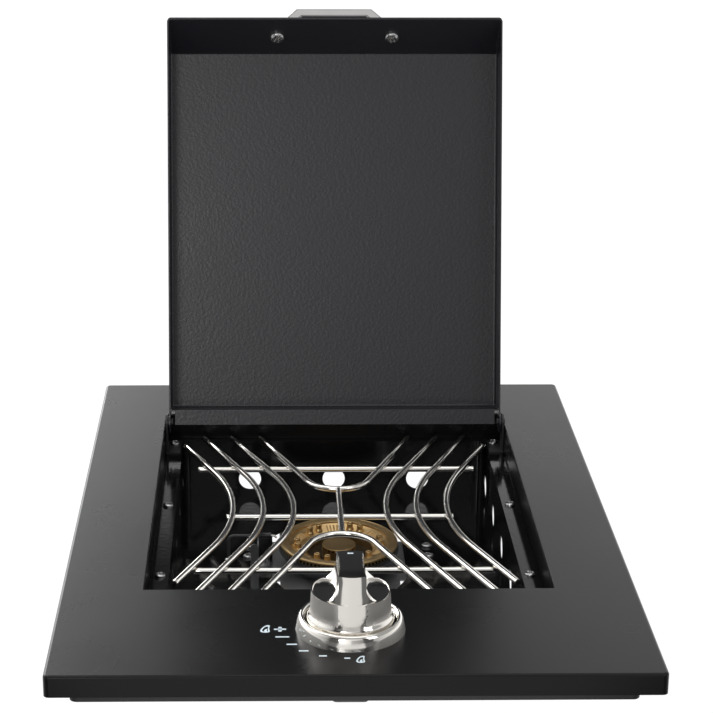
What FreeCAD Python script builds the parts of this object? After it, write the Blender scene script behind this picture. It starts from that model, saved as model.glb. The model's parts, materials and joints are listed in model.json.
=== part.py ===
import FreeCAD, Part
import math
import os

# Built in side burner, millimetres. Every piece is made in deck coordinates: X to the right from the deck's middle,
# Y back from the deck's front edge, Z up from the deck's top. save() moves it to the row's origin, the middle of the
# worktop cut-out at the height of the worktop.

Vector = FreeCAD.Vector
along_x = Vector(1, 0, 0)
along_y = Vector(0, 1, 0)
along_z = Vector(0, 0, 1)

# Deck plate
deck_width = 400.0
deck_depth = 560.0
deck_sheet = 1.5
deck_rim = 15.0          # outer flange, down to the worktop
deck_lip = 12.0          # return lip that rests on the worktop
deck_corner = 4.0
deck_bend = 2.0
opening_bend = 1.2
bonnet_hole = 9.5        # in the deck, under the bezel
opening_half = 142.65
opening_front = 130.4
opening_back = 482.9
opening_bottom = -24.7
seat_half = 131.65       # inner edge of the lip that carries the box
seat_front = 136.0
seat_back = 477.0

# Locating frame under the deck
skirt_half = 185.0
skirt_front = 15.0
skirt_back = 545.0
skirt_sheet = 1.2
skirt_bottom = -26.0
skirt_tab = 10.0
skirt_corner = 5.0

# Sunken box
box_sheet = 1.0
box_half = 129.0
box_front = 138.0
box_back = 475.0
box_floor = -72.0
box_corner = 7.0
box_flange_half = 141.5
box_flange_front = 131.5
box_flange_back = 482.0
box_flange_corner = 3.0
ledge = opening_bottom + deck_sheet + box_sheet
ledge_screw_x = 135.3
ledge_screw_y = (200.5, 333.5, 466.5)
vent_radius = 9.5
back_vent_x = (-72.0, 0.0, 72.0)
back_vent_z = -56.4
side_vent_y = (202.0, 266.5, 331.0, 395.5, 460.0)
side_vent_z = -58.0
floor_cut_half = 53.0
floor_cut_front = 268.0
floor_cut_back = 408.0
floor_cut_nose = 36.0
floor_cut_slant = 37.0
floor_cut_back_slant = 20.0

# Screws
m4 = 2.0
m4_clear = 2.2
m4_head = 4.0
m3 = 1.5
m3_clear = 1.7
m3_head = 2.8
box_screw_tip = -29.5
carrier_screw_shank = 7.0
bezel_screw_shank = 9.0
valve_screw_shank = 7.8
handle_screw_head = 6.0
handle_screw_shank = 9.0 # past the lid's sheet

# Burner
burner_y = 338.0
ring_radius = 47.0
ring_bore = 27.0
ring_top = -54.4
ring_wall = 2.0          # the ring's inner wall, which ends in a ledge for the cap
ring_ledge = -68.2
ring_ledge_sheet = 1.2
ring_ledge_bore = 24.6
dish_radius = 39.5       # the dish that the posts stand in
dish_edge = -56.6
dish_bottom = -60.4
port_band_radius = 45.4
port_count = 84
port_width = 1.5
port_height = 2.2
nozzle_radius = 2.45
nozzle_foot = 3.2
nozzle_base = -59.7
nozzle_height = 6.7
nozzle_bore = 1.2
nozzle_bore_depth = 3.4
nozzle_circle = 33.4
nozzle_pairs = 6
nozzle_first_angle = 5.0
nozzle_spread = 7.6
cap_radius = 13.4
cap_top = -57.3
cap_wall = 2.4
cap_flange = 1.2
cap_port_drop = 1.9      # from the cap's top down to its ports
cap_port_radius = 0.75
cap_port_count = 24
carrier_sheet = 1.2
carrier_half = 47.0
carrier_ear = 82.0
carrier_front = 262.0
carrier_back = 400.0
carrier_ear_front = 303.0
carrier_ear_back = 378.0
carrier_screw_x = 72.5
carrier_screw_y = (346.0, 366.0)
carrier_hole = 30.0
neck_radius = 29.8       # the mixing bowl's neck, through the carrier
neck_depth = 32.0
neck_bore = 26.0
neck_floor = 2.5
bowl_bore = 25.0
bowl_foot = 40.0
bowl_radius = 47.8
bowl_rim = -59.0
bowl_rim_height = 2.2
bowl_seat = 43.0         # inner radius of the rim that the flame ring stands on
bowl_sheet = 2.0
venturi_z = -90.5
venturi_front = 186.0
venturi_wall = 1.2
venturi_mouth = 14.0
venturi_throat = 10.0
venturi_outlet = 12.2
venturi_stations = (22.0, 40.0, 90.0, 124.5)
window_start = 6.0       # the air windows, from the mixing tube's mouth
window_length = 8.0
window_angle = 60.0
shutter_start = 2.0
shutter_length = 17.0
shutter_radius = 15.4
shutter_knurl = 16.5
shutter_knurl_length = 3.0

# Igniter
igniter_y = 343.0
igniter_z = -52.2
igniter_left = -69.0
igniter_right = -54.0
igniter_radius = 2.8
igniter_collar = 3.4
igniter_collar_length = 2.0
igniter_wire = 0.8
igniter_sheet = 1.0
igniter_strip_x = -70.5  # the strip that stands up at the bracket's front
igniter_strip_half = 3.25
igniter_strip_y = 325.0
igniter_strip_top = -52.0
igniter_plate_x = -64.0
igniter_plate_edge = 4.8
igniter_foot_x = -57.0
igniter_foot_back = 340.0
igniter_screw_x = -61.0
igniter_screw_y = 333.0
igniter_screw_shank = 4.0
lead_hole_x = -88.0
lead_hole_radius = 3.0
lead_height = -79.5
lead_radius = 1.3
lead_end_z = -42.0
lead_rise_y = 128.0

# Knob and valve
knob_x = -1.5
knob_y = 68.5
bezel_radius = 36.8
bezel_height = 10.0
bezel_bore = 30.2
knob_bottom = 4.0
knob_skirt = 29.5
knob_skirt_z = 9.9
knob_foot = 27.2         # radius of the wall where it meets the skirt
knob_foot_z = 13.6
knob_rim = 26.35
knob_rim_z = 28.2
knob_socket_top = 34.0
bow_radius = 22.0        # round ends of the grip
bow_top_radius = 19.0
bow_offset = 5.5
bow_top_z = 52.0
crown_radius = 238.0     # the grip's top, seen from the side
crown_y = -12.0
crown_z = 48.0
waist_half = 7.4         # the grip's thinnest place, between the scoops
waist_sweep = 150.0
flare_width = 8.0        # the scoop's round lower corner
flare_height = 11.8
bowl_x = 17.4
bowl_half = (8.2, 18.0, 8.7)
spindle_radius = 4.0
spindle_foot = -28.0
running = 0.05
valve_top = -22.0
valve_bottom = -48.0
bonnet_top = -12.0
collar_top = -4.0
collar_height = 2.0
inlet_radius = 6.58      # G 1/4 thread, major radius
inlet_z = -36.0
outlet_z = -40.0
feed_pipe_radius = 3.0
pipe_fall_start = 100.0
pipe_fall_end = 146.0
valve_half = 12.0
valve_half_depth = 14.0
valve_screw_x = 18.0     # either side of the spindle
valve_flange_half = 22.0
bonnet_radius = 9.0
bezel_screw_offset = 33.4
bracket_sheet = 1.5
bracket_half = 25.0
bracket_half_depth = 15.0
bracket_foot = 14.0
outlet_y = knob_y + 20
jet_bracket_half = 18.0
jet_bracket_front = 160.0
jet_bracket_foot = 20.0
jet_bracket_bottom = -101.0
jet_screw_x = 12.0
jet_screw_y = 171.0
jet_holder_radius = 6.0
jet_holder_front = 156.0
jet_holder_nut = 9.0
thread_length = 14.0
inlet_nut = 10.0
inlet_nut_length = 7.0
collar_radius = 8.0
spring_radius = 6.2
spring_wire = 0.45
spring_turns = 3

# Pan grate
wire = 2.4
grate_z = ledge + wire + 0.3
wire_pitch = 23.2
wire_near = 36.4         # nearest the middle, for the innermost side wire
wire_near_pitch = 23.8
wire_rear = 87.6
wire_front = 97.4
rear_end = 476.0
front_end = 134.0
rear_slope = 0.43        # sideways per millimetre of depth
front_slope = 0.41
vee_bottom = 360.7
vee_rear = 63.4
arch_top = 270.8
arch_front = 73.9
centre_bend = 26.0
outer_rear_end = 457.5
outer_front_end = 182.0
rods = ((416.0, 114.0), (315.0, 88.7), (214.0, 110.5))

# Lid, open. In its own coordinates A runs up the panel and B from the panel towards the hollow.
lid_lean = 14.3
lid_half = 139.4
lid_sheet = 1.2
lid_length = 299.0
lid_flange = 30.0
lid_slope_run = 26.4
lid_lip = 12.5
lid_lip_half = 134.5
lid_heel_y = 484.7
lid_heel_z = 6.5
lid_bend = 3.0
pin_y = 455.5
pin_z = 3.0
pin_radius = 2.0
ear_radius = 9.0
tab_inner = 140.6
tab_sheet = 1.5
handle_half = 48.0
handle_flat = 29.0
handle_rise = 27.0
handle_width = 12.0
handle_bar = 9.5
handle_edge = 2.2        # radius of its long edges
pin_head = 3.2
pin_rivet = 2.7
washer_radius = 5.0
eye_radius = 7.0         # of the hinge brackets
bracket_foot_inner = 130.3
bracket_foot_y = (446.0, 474.0)
buffer_x = (92.0, 108.0)
buffer_y = (484.9, 495.0)
buffer_top = 5.9

row_origin = Vector(0, deck_depth / 2, -deck_rim)


def save(name, *shapes):
    shape = shapes[0] if len(shapes) == 1 else Part.makeCompound(list(shapes))
    shape = shape.copy()
    shape.translate(-row_origin)
    shape.exportStep("parts/" + name + ".step")


def block(x0, x1, y0, y1, z0, z1):
    return Part.makeBox(x1 - x0, y1 - y0, z1 - z0, Vector(x0, y0, z0))


def rod(radius, length, base, direction=along_z):
    return Part.makeCylinder(radius, length, base, direction)


def tube(outer, inner, length, base, direction=along_z):
    return rod(outer, length, base, direction).cut(rod(inner, length, base, direction))


def rounded_block(half, y0, y1, z0, z1, radius):
    """A block across the middle with rounded upright edges."""
    shape = block(-half, half, y0, y1, z0, z1)
    upright = [e for e in shape.Edges if abs(e.BoundBox.ZLength - (z1 - z0)) < 0.01 and e.BoundBox.XLength < 0.01
               and e.BoundBox.YLength < 0.01]
    return shape.makeFillet(radius, upright)


def prism(points, direction, length):
    """A flat outline of points in one plane, pushed along a direction."""
    face = Part.Face(Part.makePolygon(list(points) + [points[0]]))
    return face.extrude(Vector(direction).multiply(length))


def revolve(profile, centre, axis=along_z):
    """Turn a list of (radius, height) about an upright or lengthwise axis."""
    side = along_x if axis != along_x else along_y
    points = [centre + Vector(side).multiply(r) + Vector(axis).multiply(h) for r, h in profile]
    face = Part.Face(Part.makePolygon(points + [points[0]]))
    return face.revolve(centre, axis, 360)


def mirror_x(shape):
    return shape.mirror(Vector(0, 0, 0), along_x)


def both_sides(shape):
    return [shape, mirror_x(shape)]


def pan_screw(x, y, seat, shank, head=m4_head, radius=m4):
    """A screw from above: domed head on its seat and a plain shank below."""
    dome = revolve([(0, 0), (head, 0), (head, 1.2), (head * 0.8, 2.2), (head * 0.4, 2.6), (0, 2.6)],
                   Vector(x, y, seat))
    return dome.fuse(rod(radius, shank, Vector(x, y, seat - shank)))


def hex_nut(x, y, top, flats=7.0, height=3.2, bore=m4):
    corner = flats / math.sqrt(3)
    points = [Vector(x + corner * math.cos(math.radians(60 * k)), y + corner * math.sin(math.radians(60 * k)),
                     top - height) for k in range(6)]
    return prism(points, along_z, height).cut(rod(bore, height, Vector(x, y, top - height)))


def ledge_points():
    return [(side * ledge_screw_x, y) for side in (-1, 1) for y in ledge_screw_y]


def sweep(path, radius):
    """A round wire along a list of joined edges."""
    route = Part.Wire(path)
    start = path[0].valueAt(path[0].FirstParameter)
    tangent = path[0].tangentAt(path[0].FirstParameter)
    profile = Part.Wire(Part.makeCircle(radius, start, tangent))
    return route.makePipeShell([profile], True, True)


def bent_run(points, radii):
    """Edges of a pipe's middle line: straight runs with a bend of the given radius at each inner point."""
    edges = []
    start = points[0]
    for before, corner, after, radius in zip(points, points[1:], points[2:], radii):
        back = (before - corner).normalize()
        onward = (after - corner).normalize()
        half_angle = back.getAngle(onward) / 2
        cut = radius / math.tan(half_angle)
        inward = (back + onward).normalize()
        middle = corner + inward * (radius / math.sin(half_angle) - radius)
        edges.append(line(start, corner + back * cut))
        edges.append(arc(corner + back * cut, middle, corner + onward * cut))
        start = corner + onward * cut
    edges.append(line(start, points[-1]))
    return edges


def line(a, b):
    return Part.LineSegment(a, b).toShape()


def arc(a, b, c):
    return Part.Arc(a, b, c).toShape()


# Deck and frame

def make_deck():
    plate = rounded_block(deck_width / 2, 0, deck_depth, -deck_rim, 0, deck_corner)
    top_edges = [e for e in plate.Edges if abs(e.BoundBox.ZMin) < 0.01 and abs(e.BoundBox.ZMax) < 0.01]
    plate = plate.makeFillet(deck_bend, top_edges)
    s = deck_sheet
    hollow = rounded_block(deck_width / 2 - s, s, deck_depth - s, -deck_rim + s, -s, deck_corner - s)
    inset = s + deck_lip
    half = deck_width / 2 - inset
    mouth = block(-half, half, inset, deck_depth - inset, -deck_rim, -deck_rim + s)
    shell = plate.cut(hollow).cut(mouth)
    well = block(-opening_half - s, opening_half + s, opening_front - s, opening_back + s, opening_bottom, -0.1)
    shell = shell.fuse(well)
    opening = block(-opening_half, opening_half, opening_front, opening_back, opening_bottom + s, 0)
    seat = block(-seat_half, seat_half, seat_front, seat_back, opening_bottom, opening_bottom + s)
    shell = shell.cut(opening).cut(seat)
    rim_edges = [e for e in shell.Edges if abs(e.BoundBox.ZMin) < 0.01 and abs(e.BoundBox.ZMax) < 0.01
                 and abs(e.BoundBox.Center.x) <= opening_half + 0.01
                 and opening_front - 0.01 <= e.BoundBox.Center.y <= opening_back + 0.01]
    shell = shell.makeFillet(opening_bend, rim_edges)
    for x, y in ledge_points():
        shell = shell.cut(rod(m4_clear, 3, Vector(x, y, opening_bottom - 1)))
    shell = shell.cut(rod(bonnet_hole, 3, Vector(knob_x, knob_y, -2)))
    for x in bezel_screw_x():
        shell = shell.cut(rod(m3_clear, 3, Vector(x, knob_y, -2)))
    return shell


def make_skirt():
    outer = rounded_block(skirt_half, skirt_front, skirt_back, skirt_bottom, -deck_sheet, skirt_corner)
    s = skirt_sheet
    inner = rounded_block(skirt_half - s, skirt_front + s, skirt_back - s, skirt_bottom, -deck_sheet - s,
                          skirt_corner - s)
    t = skirt_tab
    mouth = block(-skirt_half + t, skirt_half - t, skirt_front + t, skirt_back - t, -deck_sheet - s, -deck_sheet)
    return outer.cut(inner).cut(mouth)


def floor_cut(z0, height):
    right = [(floor_cut_nose, floor_cut_front), (floor_cut_half, floor_cut_front + floor_cut_slant),
             (floor_cut_half, floor_cut_back - floor_cut_back_slant), (floor_cut_nose, floor_cut_back)]
    outline = right + [(-x, y) for x, y in reversed(right)]
    return prism([Vector(x, y, z0) for x, y in outline], along_z, height)


def make_box():
    s = box_sheet
    tray = rounded_block(box_half + s, box_front - s, box_back + s, box_floor - s, ledge, box_corner + s)
    flange = rounded_block(box_flange_half, box_flange_front, box_flange_back, ledge - s, ledge,
                           box_flange_corner)
    tray = tray.fuse(flange)
    tray = tray.cut(rounded_block(box_half, box_front, box_back, box_floor, ledge, box_corner))
    tray = tray.cut(floor_cut(box_floor - s, s))
    for x in back_vent_x:
        tray = tray.cut(rod(vent_radius, 4, Vector(x, box_back - 1, back_vent_z), along_y))
    for y in side_vent_y:
        tray = tray.cut(rod(vent_radius, 2 * box_half + 6, Vector(-box_half - 3, y, side_vent_z), along_x))
    for x, y in ledge_points():
        tray = tray.cut(rod(m4_clear, 3, Vector(x, y, ledge - 2)))
    for x in (-carrier_screw_x, carrier_screw_x):
        for y in carrier_screw_y:
            tray = tray.cut(rod(m4_clear, 3, Vector(x, y, box_floor - 2)))
    for x in (-jet_screw_x, jet_screw_x):
        tray = tray.cut(rod(m4, 3, Vector(x, jet_screw_y, box_floor - 2)))
    tray = tray.cut(rod(lead_hole_radius, 3, Vector(lead_hole_x, igniter_y, box_floor - 2)))
    return tray.cut(rod(m3, 3, Vector(igniter_screw_x, igniter_screw_y, box_floor - 2)))


# Screws that hold the box

def ledge_seat(y):
    return ledge + tab_sheet if y == ledge_screw_y[-1] else ledge


def make_box_screws():
    return [pan_screw(x, y, ledge_seat(y), ledge_seat(y) - box_screw_tip) for x, y in ledge_points()]


def make_box_nuts():
    return [hex_nut(x, y, opening_bottom) for x, y in ledge_points()]


# Burner

def make_carrier():
    low = box_floor - box_sheet - carrier_sheet
    tongue = block(-carrier_half, carrier_half, carrier_front, carrier_back, low, low + carrier_sheet)
    ears = block(-carrier_ear, carrier_ear, carrier_ear_front, carrier_ear_back, low, low + carrier_sheet)
    plate = tongue.fuse(ears).removeSplitter()
    plate = plate.cut(rod(carrier_hole, 3, Vector(0, burner_y, low - 1)))
    for x in (-carrier_screw_x, carrier_screw_x):
        for y in carrier_screw_y:
            plate = plate.cut(rod(m4, 3, Vector(x, y, low - 1)))
    return plate.cut(rod(m3_clear, 3, Vector(igniter_screw_x, igniter_screw_y, low - 1)))


def make_carrier_screws():
    places = [(x, y) for x in (-carrier_screw_x, carrier_screw_x) for y in carrier_screw_y]
    return [pan_screw(x, y, box_floor, carrier_screw_shank) for x, y in places]


def make_burner_base():
    """Bowl on the carrier with a closed neck below it that takes the mixing tube."""
    plate = box_floor - box_sheet
    shoulder = plate - 8
    floor = plate + bowl_sheet
    bowl = revolve([(neck_radius, shoulder), (neck_radius, plate), (bowl_foot, plate),
                    (bowl_radius, bowl_rim - bowl_rim_height), (bowl_radius, bowl_rim), (bowl_seat, bowl_rim),
                    (bowl_seat, bowl_rim - bowl_sheet), (bowl_foot - bowl_sheet, floor), (bowl_bore, floor),
                    (bowl_bore, shoulder)], Vector(0, burner_y, 0))
    bottom = plate - neck_depth
    neck = rod(neck_radius, shoulder - bottom, Vector(0, burner_y, bottom))
    hollow = rod(neck_bore, shoulder - bottom - neck_floor, Vector(0, burner_y, bottom + neck_floor))
    base = bowl.fuse(neck.cut(hollow))
    base = base.cut(rod(bowl_bore, 12, Vector(0, burner_y, shoulder - 1)))
    return base.cut(rod(venturi_outlet, 34, Vector(0, burner_y - 34, venturi_z), along_y)).removeSplitter()


def make_venturi():
    """Mixing tube with a flared mouth, a throat and a long outlet that enters the neck."""
    w = venturi_wall
    radii = (venturi_mouth, venturi_throat, venturi_outlet, venturi_outlet)
    outer = [(venturi_mouth, 0)] + list(zip(radii, venturi_stations))
    inner = [(r - w, h) for r, h in reversed(outer)]
    pipe = revolve(outer + inner, Vector(0, venturi_front, venturi_z), along_y)
    return pipe.cut(air_windows())


def air_windows():
    """Two openings left and right in the mixing tube and in its shutter."""
    start = Vector(0, venturi_front + window_start, venturi_z)
    wedge = Part.makeCylinder(20, window_length, start, along_y, window_angle)
    wedge.rotate(Vector(0, venturi_front, venturi_z), along_y, -wedge_centre(wedge))
    other = wedge.copy()
    other.rotate(Vector(0, venturi_front, venturi_z), along_y, 180)
    return wedge.fuse(other).cut(rod(8, window_length, start, along_y))


def wedge_centre(wedge):
    """Angle about Y from +X to the middle of a wedge."""
    middle = wedge.CenterOfMass
    return math.degrees(math.atan2(-(middle.z - venturi_z), middle.x))


def make_air_shutter():
    start = venturi_front + shutter_start
    sleeve = tube(shutter_radius, venturi_mouth + running, shutter_length, Vector(0, start, venturi_z), along_y)
    knurl_start = Vector(0, start + shutter_length - shutter_knurl_length - 1, venturi_z)
    knurl = tube(shutter_knurl, shutter_radius - 0.4, shutter_knurl_length, knurl_start, along_y)
    return sleeve.fuse(knurl).cut(air_windows()).removeSplitter()


def make_burner_ring():
    """Rim with slots below it, a dish for the posts and an inner wall down to the cap's ledge."""
    inner = ring_bore + ring_wall
    ledge_bottom = ring_ledge - ring_ledge_sheet
    ring = revolve([(ring_bore, dish_bottom), (dish_radius, dish_edge), (dish_radius, ring_top - 0.4),
                    (dish_radius + 0.4, ring_top), (ring_radius - 0.8, ring_top), (ring_radius, ring_top - 0.8),
                    (ring_radius, ring_top - 1.8), (port_band_radius, ring_top - 2.2), (port_band_radius, bowl_rim),
                    (bowl_seat, bowl_rim), (dish_radius, dish_edge - 3), (inner, dish_bottom - 3),
                    (inner, ledge_bottom), (ring_ledge_bore, ledge_bottom), (ring_ledge_bore, ring_ledge),
                    (ring_bore, ring_ledge)], Vector(0, burner_y, 0))
    cuts = [rod(nozzle_foot, 6, Vector(x, y, nozzle_base)) for x, y in nozzle_places()]
    for k in range(port_count):
        slot = block(dish_radius, ring_radius, burner_y - port_width / 2, burner_y + port_width / 2,
                     bowl_rim, bowl_rim + port_height)
        slot.rotate(Vector(0, burner_y, 0), along_z, 360.0 * k / port_count)
        cuts.append(slot)
    return ring.cut(Part.makeCompound(cuts))


def nozzle_places():
    for pair in range(nozzle_pairs):
        middle = nozzle_first_angle + 360.0 * pair / nozzle_pairs
        for turn in (-nozzle_spread, nozzle_spread):
            angle = math.radians(middle + turn)
            yield nozzle_circle * math.cos(angle), burner_y + nozzle_circle * math.sin(angle)


def make_nozzles():
    posts = []
    h = nozzle_height
    for x, y in nozzle_places():
        post = revolve([(0, 0), (nozzle_foot, 0), (nozzle_foot, 2), (nozzle_radius, 2.8), (nozzle_radius, h - 0.4),
                        (nozzle_radius - 0.4, h), (nozzle_bore, h), (nozzle_bore, h - nozzle_bore_depth),
                        (0, h - nozzle_bore_depth)], Vector(x, y, nozzle_base))
        posts.append(post)
    return posts


def make_cap():
    """Closed cap with a ring of ports below its edge; its flange lies on the ring's ledge."""
    inside = cap_radius - cap_wall
    flange = ring_bore - 0.3
    cap = revolve([(0, cap_top), (cap_radius - 0.4, cap_top), (cap_radius, cap_top - 0.4),
                   (cap_radius, ring_ledge + cap_flange), (flange, ring_ledge + cap_flange), (flange, ring_ledge),
                   (inside, ring_ledge), (inside, cap_top - cap_wall), (0, cap_top - cap_wall)],
                  Vector(0, burner_y, 0))
    ports = []
    for k in range(cap_port_count):
        port = rod(cap_port_radius, cap_wall + 2, Vector(inside - 1, burner_y, cap_top - cap_port_drop), along_x)
        port.rotate(Vector(0, burner_y, 0), along_z, 360.0 * k / cap_port_count)
        ports.append(port)
    return cap.cut(Part.makeCompound(ports))


# Gas train

def make_jet_bracket():
    floor = box_floor - box_sheet
    s = bracket_sheet
    half = jet_bracket_half
    front = jet_bracket_front
    face = block(-half, half, front, front + s, jet_bracket_bottom, floor)
    foot = block(-half, half, front, front + jet_bracket_foot, floor - s, floor)
    bracket = face.fuse(foot).removeSplitter()
    bracket = bracket.cut(rod(jet_holder_radius, 4, Vector(0, front - 2, venturi_z), along_y))
    for x in (-jet_screw_x, jet_screw_x):
        bracket = bracket.cut(rod(m4_clear, 4, Vector(x, jet_screw_y, floor - 3)))
    return bracket


def make_jet_bracket_screws():
    """From below into the floor, their tips level with its top."""
    screws = []
    for x in (-jet_screw_x, jet_screw_x):
        screw = pan_screw(0, 0, 0, bracket_sheet + box_sheet)
        screw.rotate(Vector(0, 0, 0), along_x, 180)
        screw.translate(Vector(x, jet_screw_y, box_floor - box_sheet - bracket_sheet))
        screws.append(screw)
    return screws


def make_jet_holder():
    holder = rod(jet_holder_radius, 16, Vector(0, jet_holder_front, venturi_z), along_y)
    nut_front = jet_bracket_front + bracket_sheet
    points = [Vector(jet_holder_nut * math.cos(math.radians(60 * k)), nut_front,
                     venturi_z + jet_holder_nut * math.sin(math.radians(60 * k))) for k in range(6)]
    holder = holder.fuse(prism(points, along_y, 7))
    return holder.cut(rod(feed_pipe_radius, 18, Vector(0, jet_holder_front - 1, venturi_z), along_y)).removeSplitter()


def make_gas_jet():
    profile = [(0.6, 0), (2.95, 0), (2.95, 8), (4.2, 8), (4.2, 11), (1.6, 15), (0.6, 15)]
    return revolve(profile, Vector(0, jet_holder_front + 8, venturi_z), along_y)


def make_feed_pipe():
    """From the valve's rear outlet, down behind the deck's front border and back to the jet holder."""
    points = [Vector(knob_x, outlet_y, outlet_z), Vector(knob_x, pipe_fall_start, outlet_z),
              Vector(0, pipe_fall_end, venturi_z), Vector(0, jet_holder_front, venturi_z)]
    return sweep(bent_run(points, (12, 12)), feed_pipe_radius)


def bezel_screw_x():
    return (knob_x - bezel_screw_offset, knob_x + bezel_screw_offset)


def valve_screw_places():
    return (knob_x - valve_screw_x, knob_x + valve_screw_x)


def make_valve_bracket():
    s = bracket_sheet
    under = -deck_sheet
    half = bracket_half
    front = knob_y - bracket_half_depth
    back = knob_y + bracket_half_depth
    bracket = block(knob_x - half, knob_x + half, front, back, valve_top, valve_top + s)
    for side in (-1, 1):
        inner = knob_x + side * (half - s)
        outer = knob_x + side * half
        far = knob_x + side * (half + bracket_foot)
        leg = block(min(inner, outer), max(inner, outer), front, back, valve_top, under)
        foot = block(min(inner, far), max(inner, far), front, back, under - s, under)
        bracket = bracket.fuse(leg).fuse(foot)
    bracket = bracket.removeSplitter().cut(rod(bonnet_radius + 0.2, 4, Vector(knob_x, knob_y, valve_top - 1)))
    for x in bezel_screw_x():
        bracket = bracket.cut(rod(m3_clear, 4, Vector(x, knob_y, under - 3)))
    for x in valve_screw_places():
        bracket = bracket.cut(rod(m4_clear, 4, Vector(x, knob_y, valve_top - 1)))
    return bracket


def make_bezel_screws():
    screws = []
    for x in bezel_screw_x():
        screw = pan_screw(0, 0, 0, bezel_screw_shank, m3_head, m3)
        screw.rotate(Vector(0, 0, 0), along_x, 180)
        screw.translate(Vector(x, knob_y, -deck_sheet - bracket_sheet))
        screws.append(screw)
    return screws


def make_valve_body():
    body = block(knob_x - valve_half, knob_x + valve_half, knob_y - valve_half_depth, knob_y + valve_half_depth,
                 valve_bottom, valve_top)
    body = body.makeFillet(3, [e for e in body.Edges if e.BoundBox.ZLength > 20])
    half = valve_flange_half
    flange = block(knob_x - half, knob_x + half, knob_y - 9, knob_y + 9, valve_top - 6, valve_top)
    outlet = rod(6.5, 8, Vector(knob_x, knob_y + valve_half_depth - 1, outlet_z), along_y)
    inlet = rod(9, 12, Vector(knob_x + valve_half - 1, knob_y, inlet_z), along_x)
    bonnet = rod(bonnet_radius, bonnet_top - valve_top + 1, Vector(knob_x, knob_y, valve_top - 1))
    body = body.fuse([flange, outlet, inlet, bonnet])
    body = body.cut(rod(spindle_radius + running, 40, Vector(knob_x, knob_y, -32)))
    body = body.cut(rod(feed_pipe_radius, 6, Vector(knob_x, outlet_y, outlet_z), along_y))
    for x in valve_screw_places():
        body = body.cut(rod(m4, 7, Vector(x, knob_y, valve_top - 6.5)))
    return body.removeSplitter()


def make_valve_screws():
    seat = valve_top + bracket_sheet
    return [pan_screw(x, knob_y, seat, valve_screw_shank) for x in valve_screw_places()]


def make_inlet_connector():
    """Hexagon and a G 1/4 thread for the supply hose, with a gas way through."""
    start = knob_x + valve_half + 11
    points = [Vector(start, knob_y + inlet_nut * math.cos(math.radians(60 * k)),
                     inlet_z + inlet_nut * math.sin(math.radians(60 * k))) for k in range(6)]
    nut = prism(points, along_x, inlet_nut_length)
    thread = rod(inlet_radius, thread_length, Vector(start + inlet_nut_length, knob_y, inlet_z), along_x)
    return nut.fuse(thread).cut(rod(3.5, 22, Vector(start - 0.5, knob_y, inlet_z), along_x)).removeSplitter()


# Igniter

def make_igniter_bracket():
    """Foot on the box's floor, a strip up from its front edge and a side plate that holds the insulator."""
    s = igniter_sheet
    x = igniter_strip_x
    y = igniter_strip_y
    round_z = igniter_strip_top - igniter_strip_half
    foot = block(x, igniter_foot_x, y, igniter_foot_back, box_floor, box_floor + s)
    strip = block(x, x + 2 * igniter_strip_half, y, y + s, box_floor, round_z)
    strip_end = rod(igniter_strip_half, s, Vector(x + igniter_strip_half, y, round_z), along_y)
    plate = block(igniter_plate_x - s, igniter_plate_x, y, igniter_y + igniter_plate_edge,
                  round_z - 2, igniter_z + igniter_plate_edge)
    plate = plate.cut(block(igniter_plate_x - s, igniter_plate_x, y, igniter_y - igniter_plate_edge, round_z, 0))
    bracket = foot.fuse([strip, strip_end, plate]).removeSplitter()
    bracket = bracket.cut(rod(igniter_radius, 3, Vector(igniter_plate_x - 2, igniter_y, igniter_z), along_x))
    return bracket.cut(rod(m3, 4, Vector(igniter_screw_x, igniter_screw_y, box_floor - 1)))


def make_electrode():
    """Insulator that lies level and points at the flame ring."""
    left = Vector(igniter_left, igniter_y, igniter_z)
    sleeve = rod(igniter_radius, igniter_right - igniter_left, left, along_x)
    collar = rod(igniter_collar, igniter_collar_length, Vector(igniter_plate_x, igniter_y, igniter_z), along_x)
    return sleeve.fuse(collar).removeSplitter()


def make_electrode_tip():
    a = Vector(igniter_right, igniter_y, igniter_z)
    b = Vector(igniter_right + 2.4, igniter_y, igniter_z)
    c = Vector(igniter_right + 4.2, igniter_y - 1.5, igniter_z - 1)
    r = igniter_wire
    return sweep([line(a, b)], r).fuse(sweep([line(b, c)], r)).fuse(Part.makeSphere(r, b)).removeSplitter()


def make_igniter_screw():
    seat = box_floor + igniter_sheet
    return pan_screw(igniter_screw_x, igniter_screw_y, seat, igniter_screw_shank, m3_head + 0.2, m3)


def make_igniter_lead():
    """High tension lead from the insulator down through the floor and forward to the valve's left side."""
    x = lead_hole_x
    points = [Vector(igniter_left, igniter_y, igniter_z), Vector(x, igniter_y, igniter_z),
              Vector(x, igniter_y, lead_height), Vector(x, lead_rise_y, lead_height), Vector(-44, knob_y, lead_end_z),
              Vector(knob_x - valve_half, knob_y, lead_end_z)]
    return sweep(bent_run(points, (4.5, 6, 25, 15)), lead_radius)


# Knob

def make_bezel():
    """Ring round the knob: a wall that leans in, a round crest and a lower lip inside it."""
    bezel = revolve([(bezel_bore, 0), (bezel_radius, 0), (bezel_radius - 0.1, 5.6), (bezel_radius - 0.6, 7.6),
                     (bezel_radius - 1.5, 9.1), (bezel_radius - 2.7, bezel_height), (bezel_radius - 3.9, 9.7),
                     (bezel_radius - 4.7, 8.8), (bezel_radius - 5.2, 7.6), (bezel_bore, 7.2)],
                    Vector(knob_x, knob_y, 0))
    for x in bezel_screw_x():
        bezel = bezel.cut(rod(m3, 6.1, Vector(x, knob_y, 0)))
    return bezel


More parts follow.
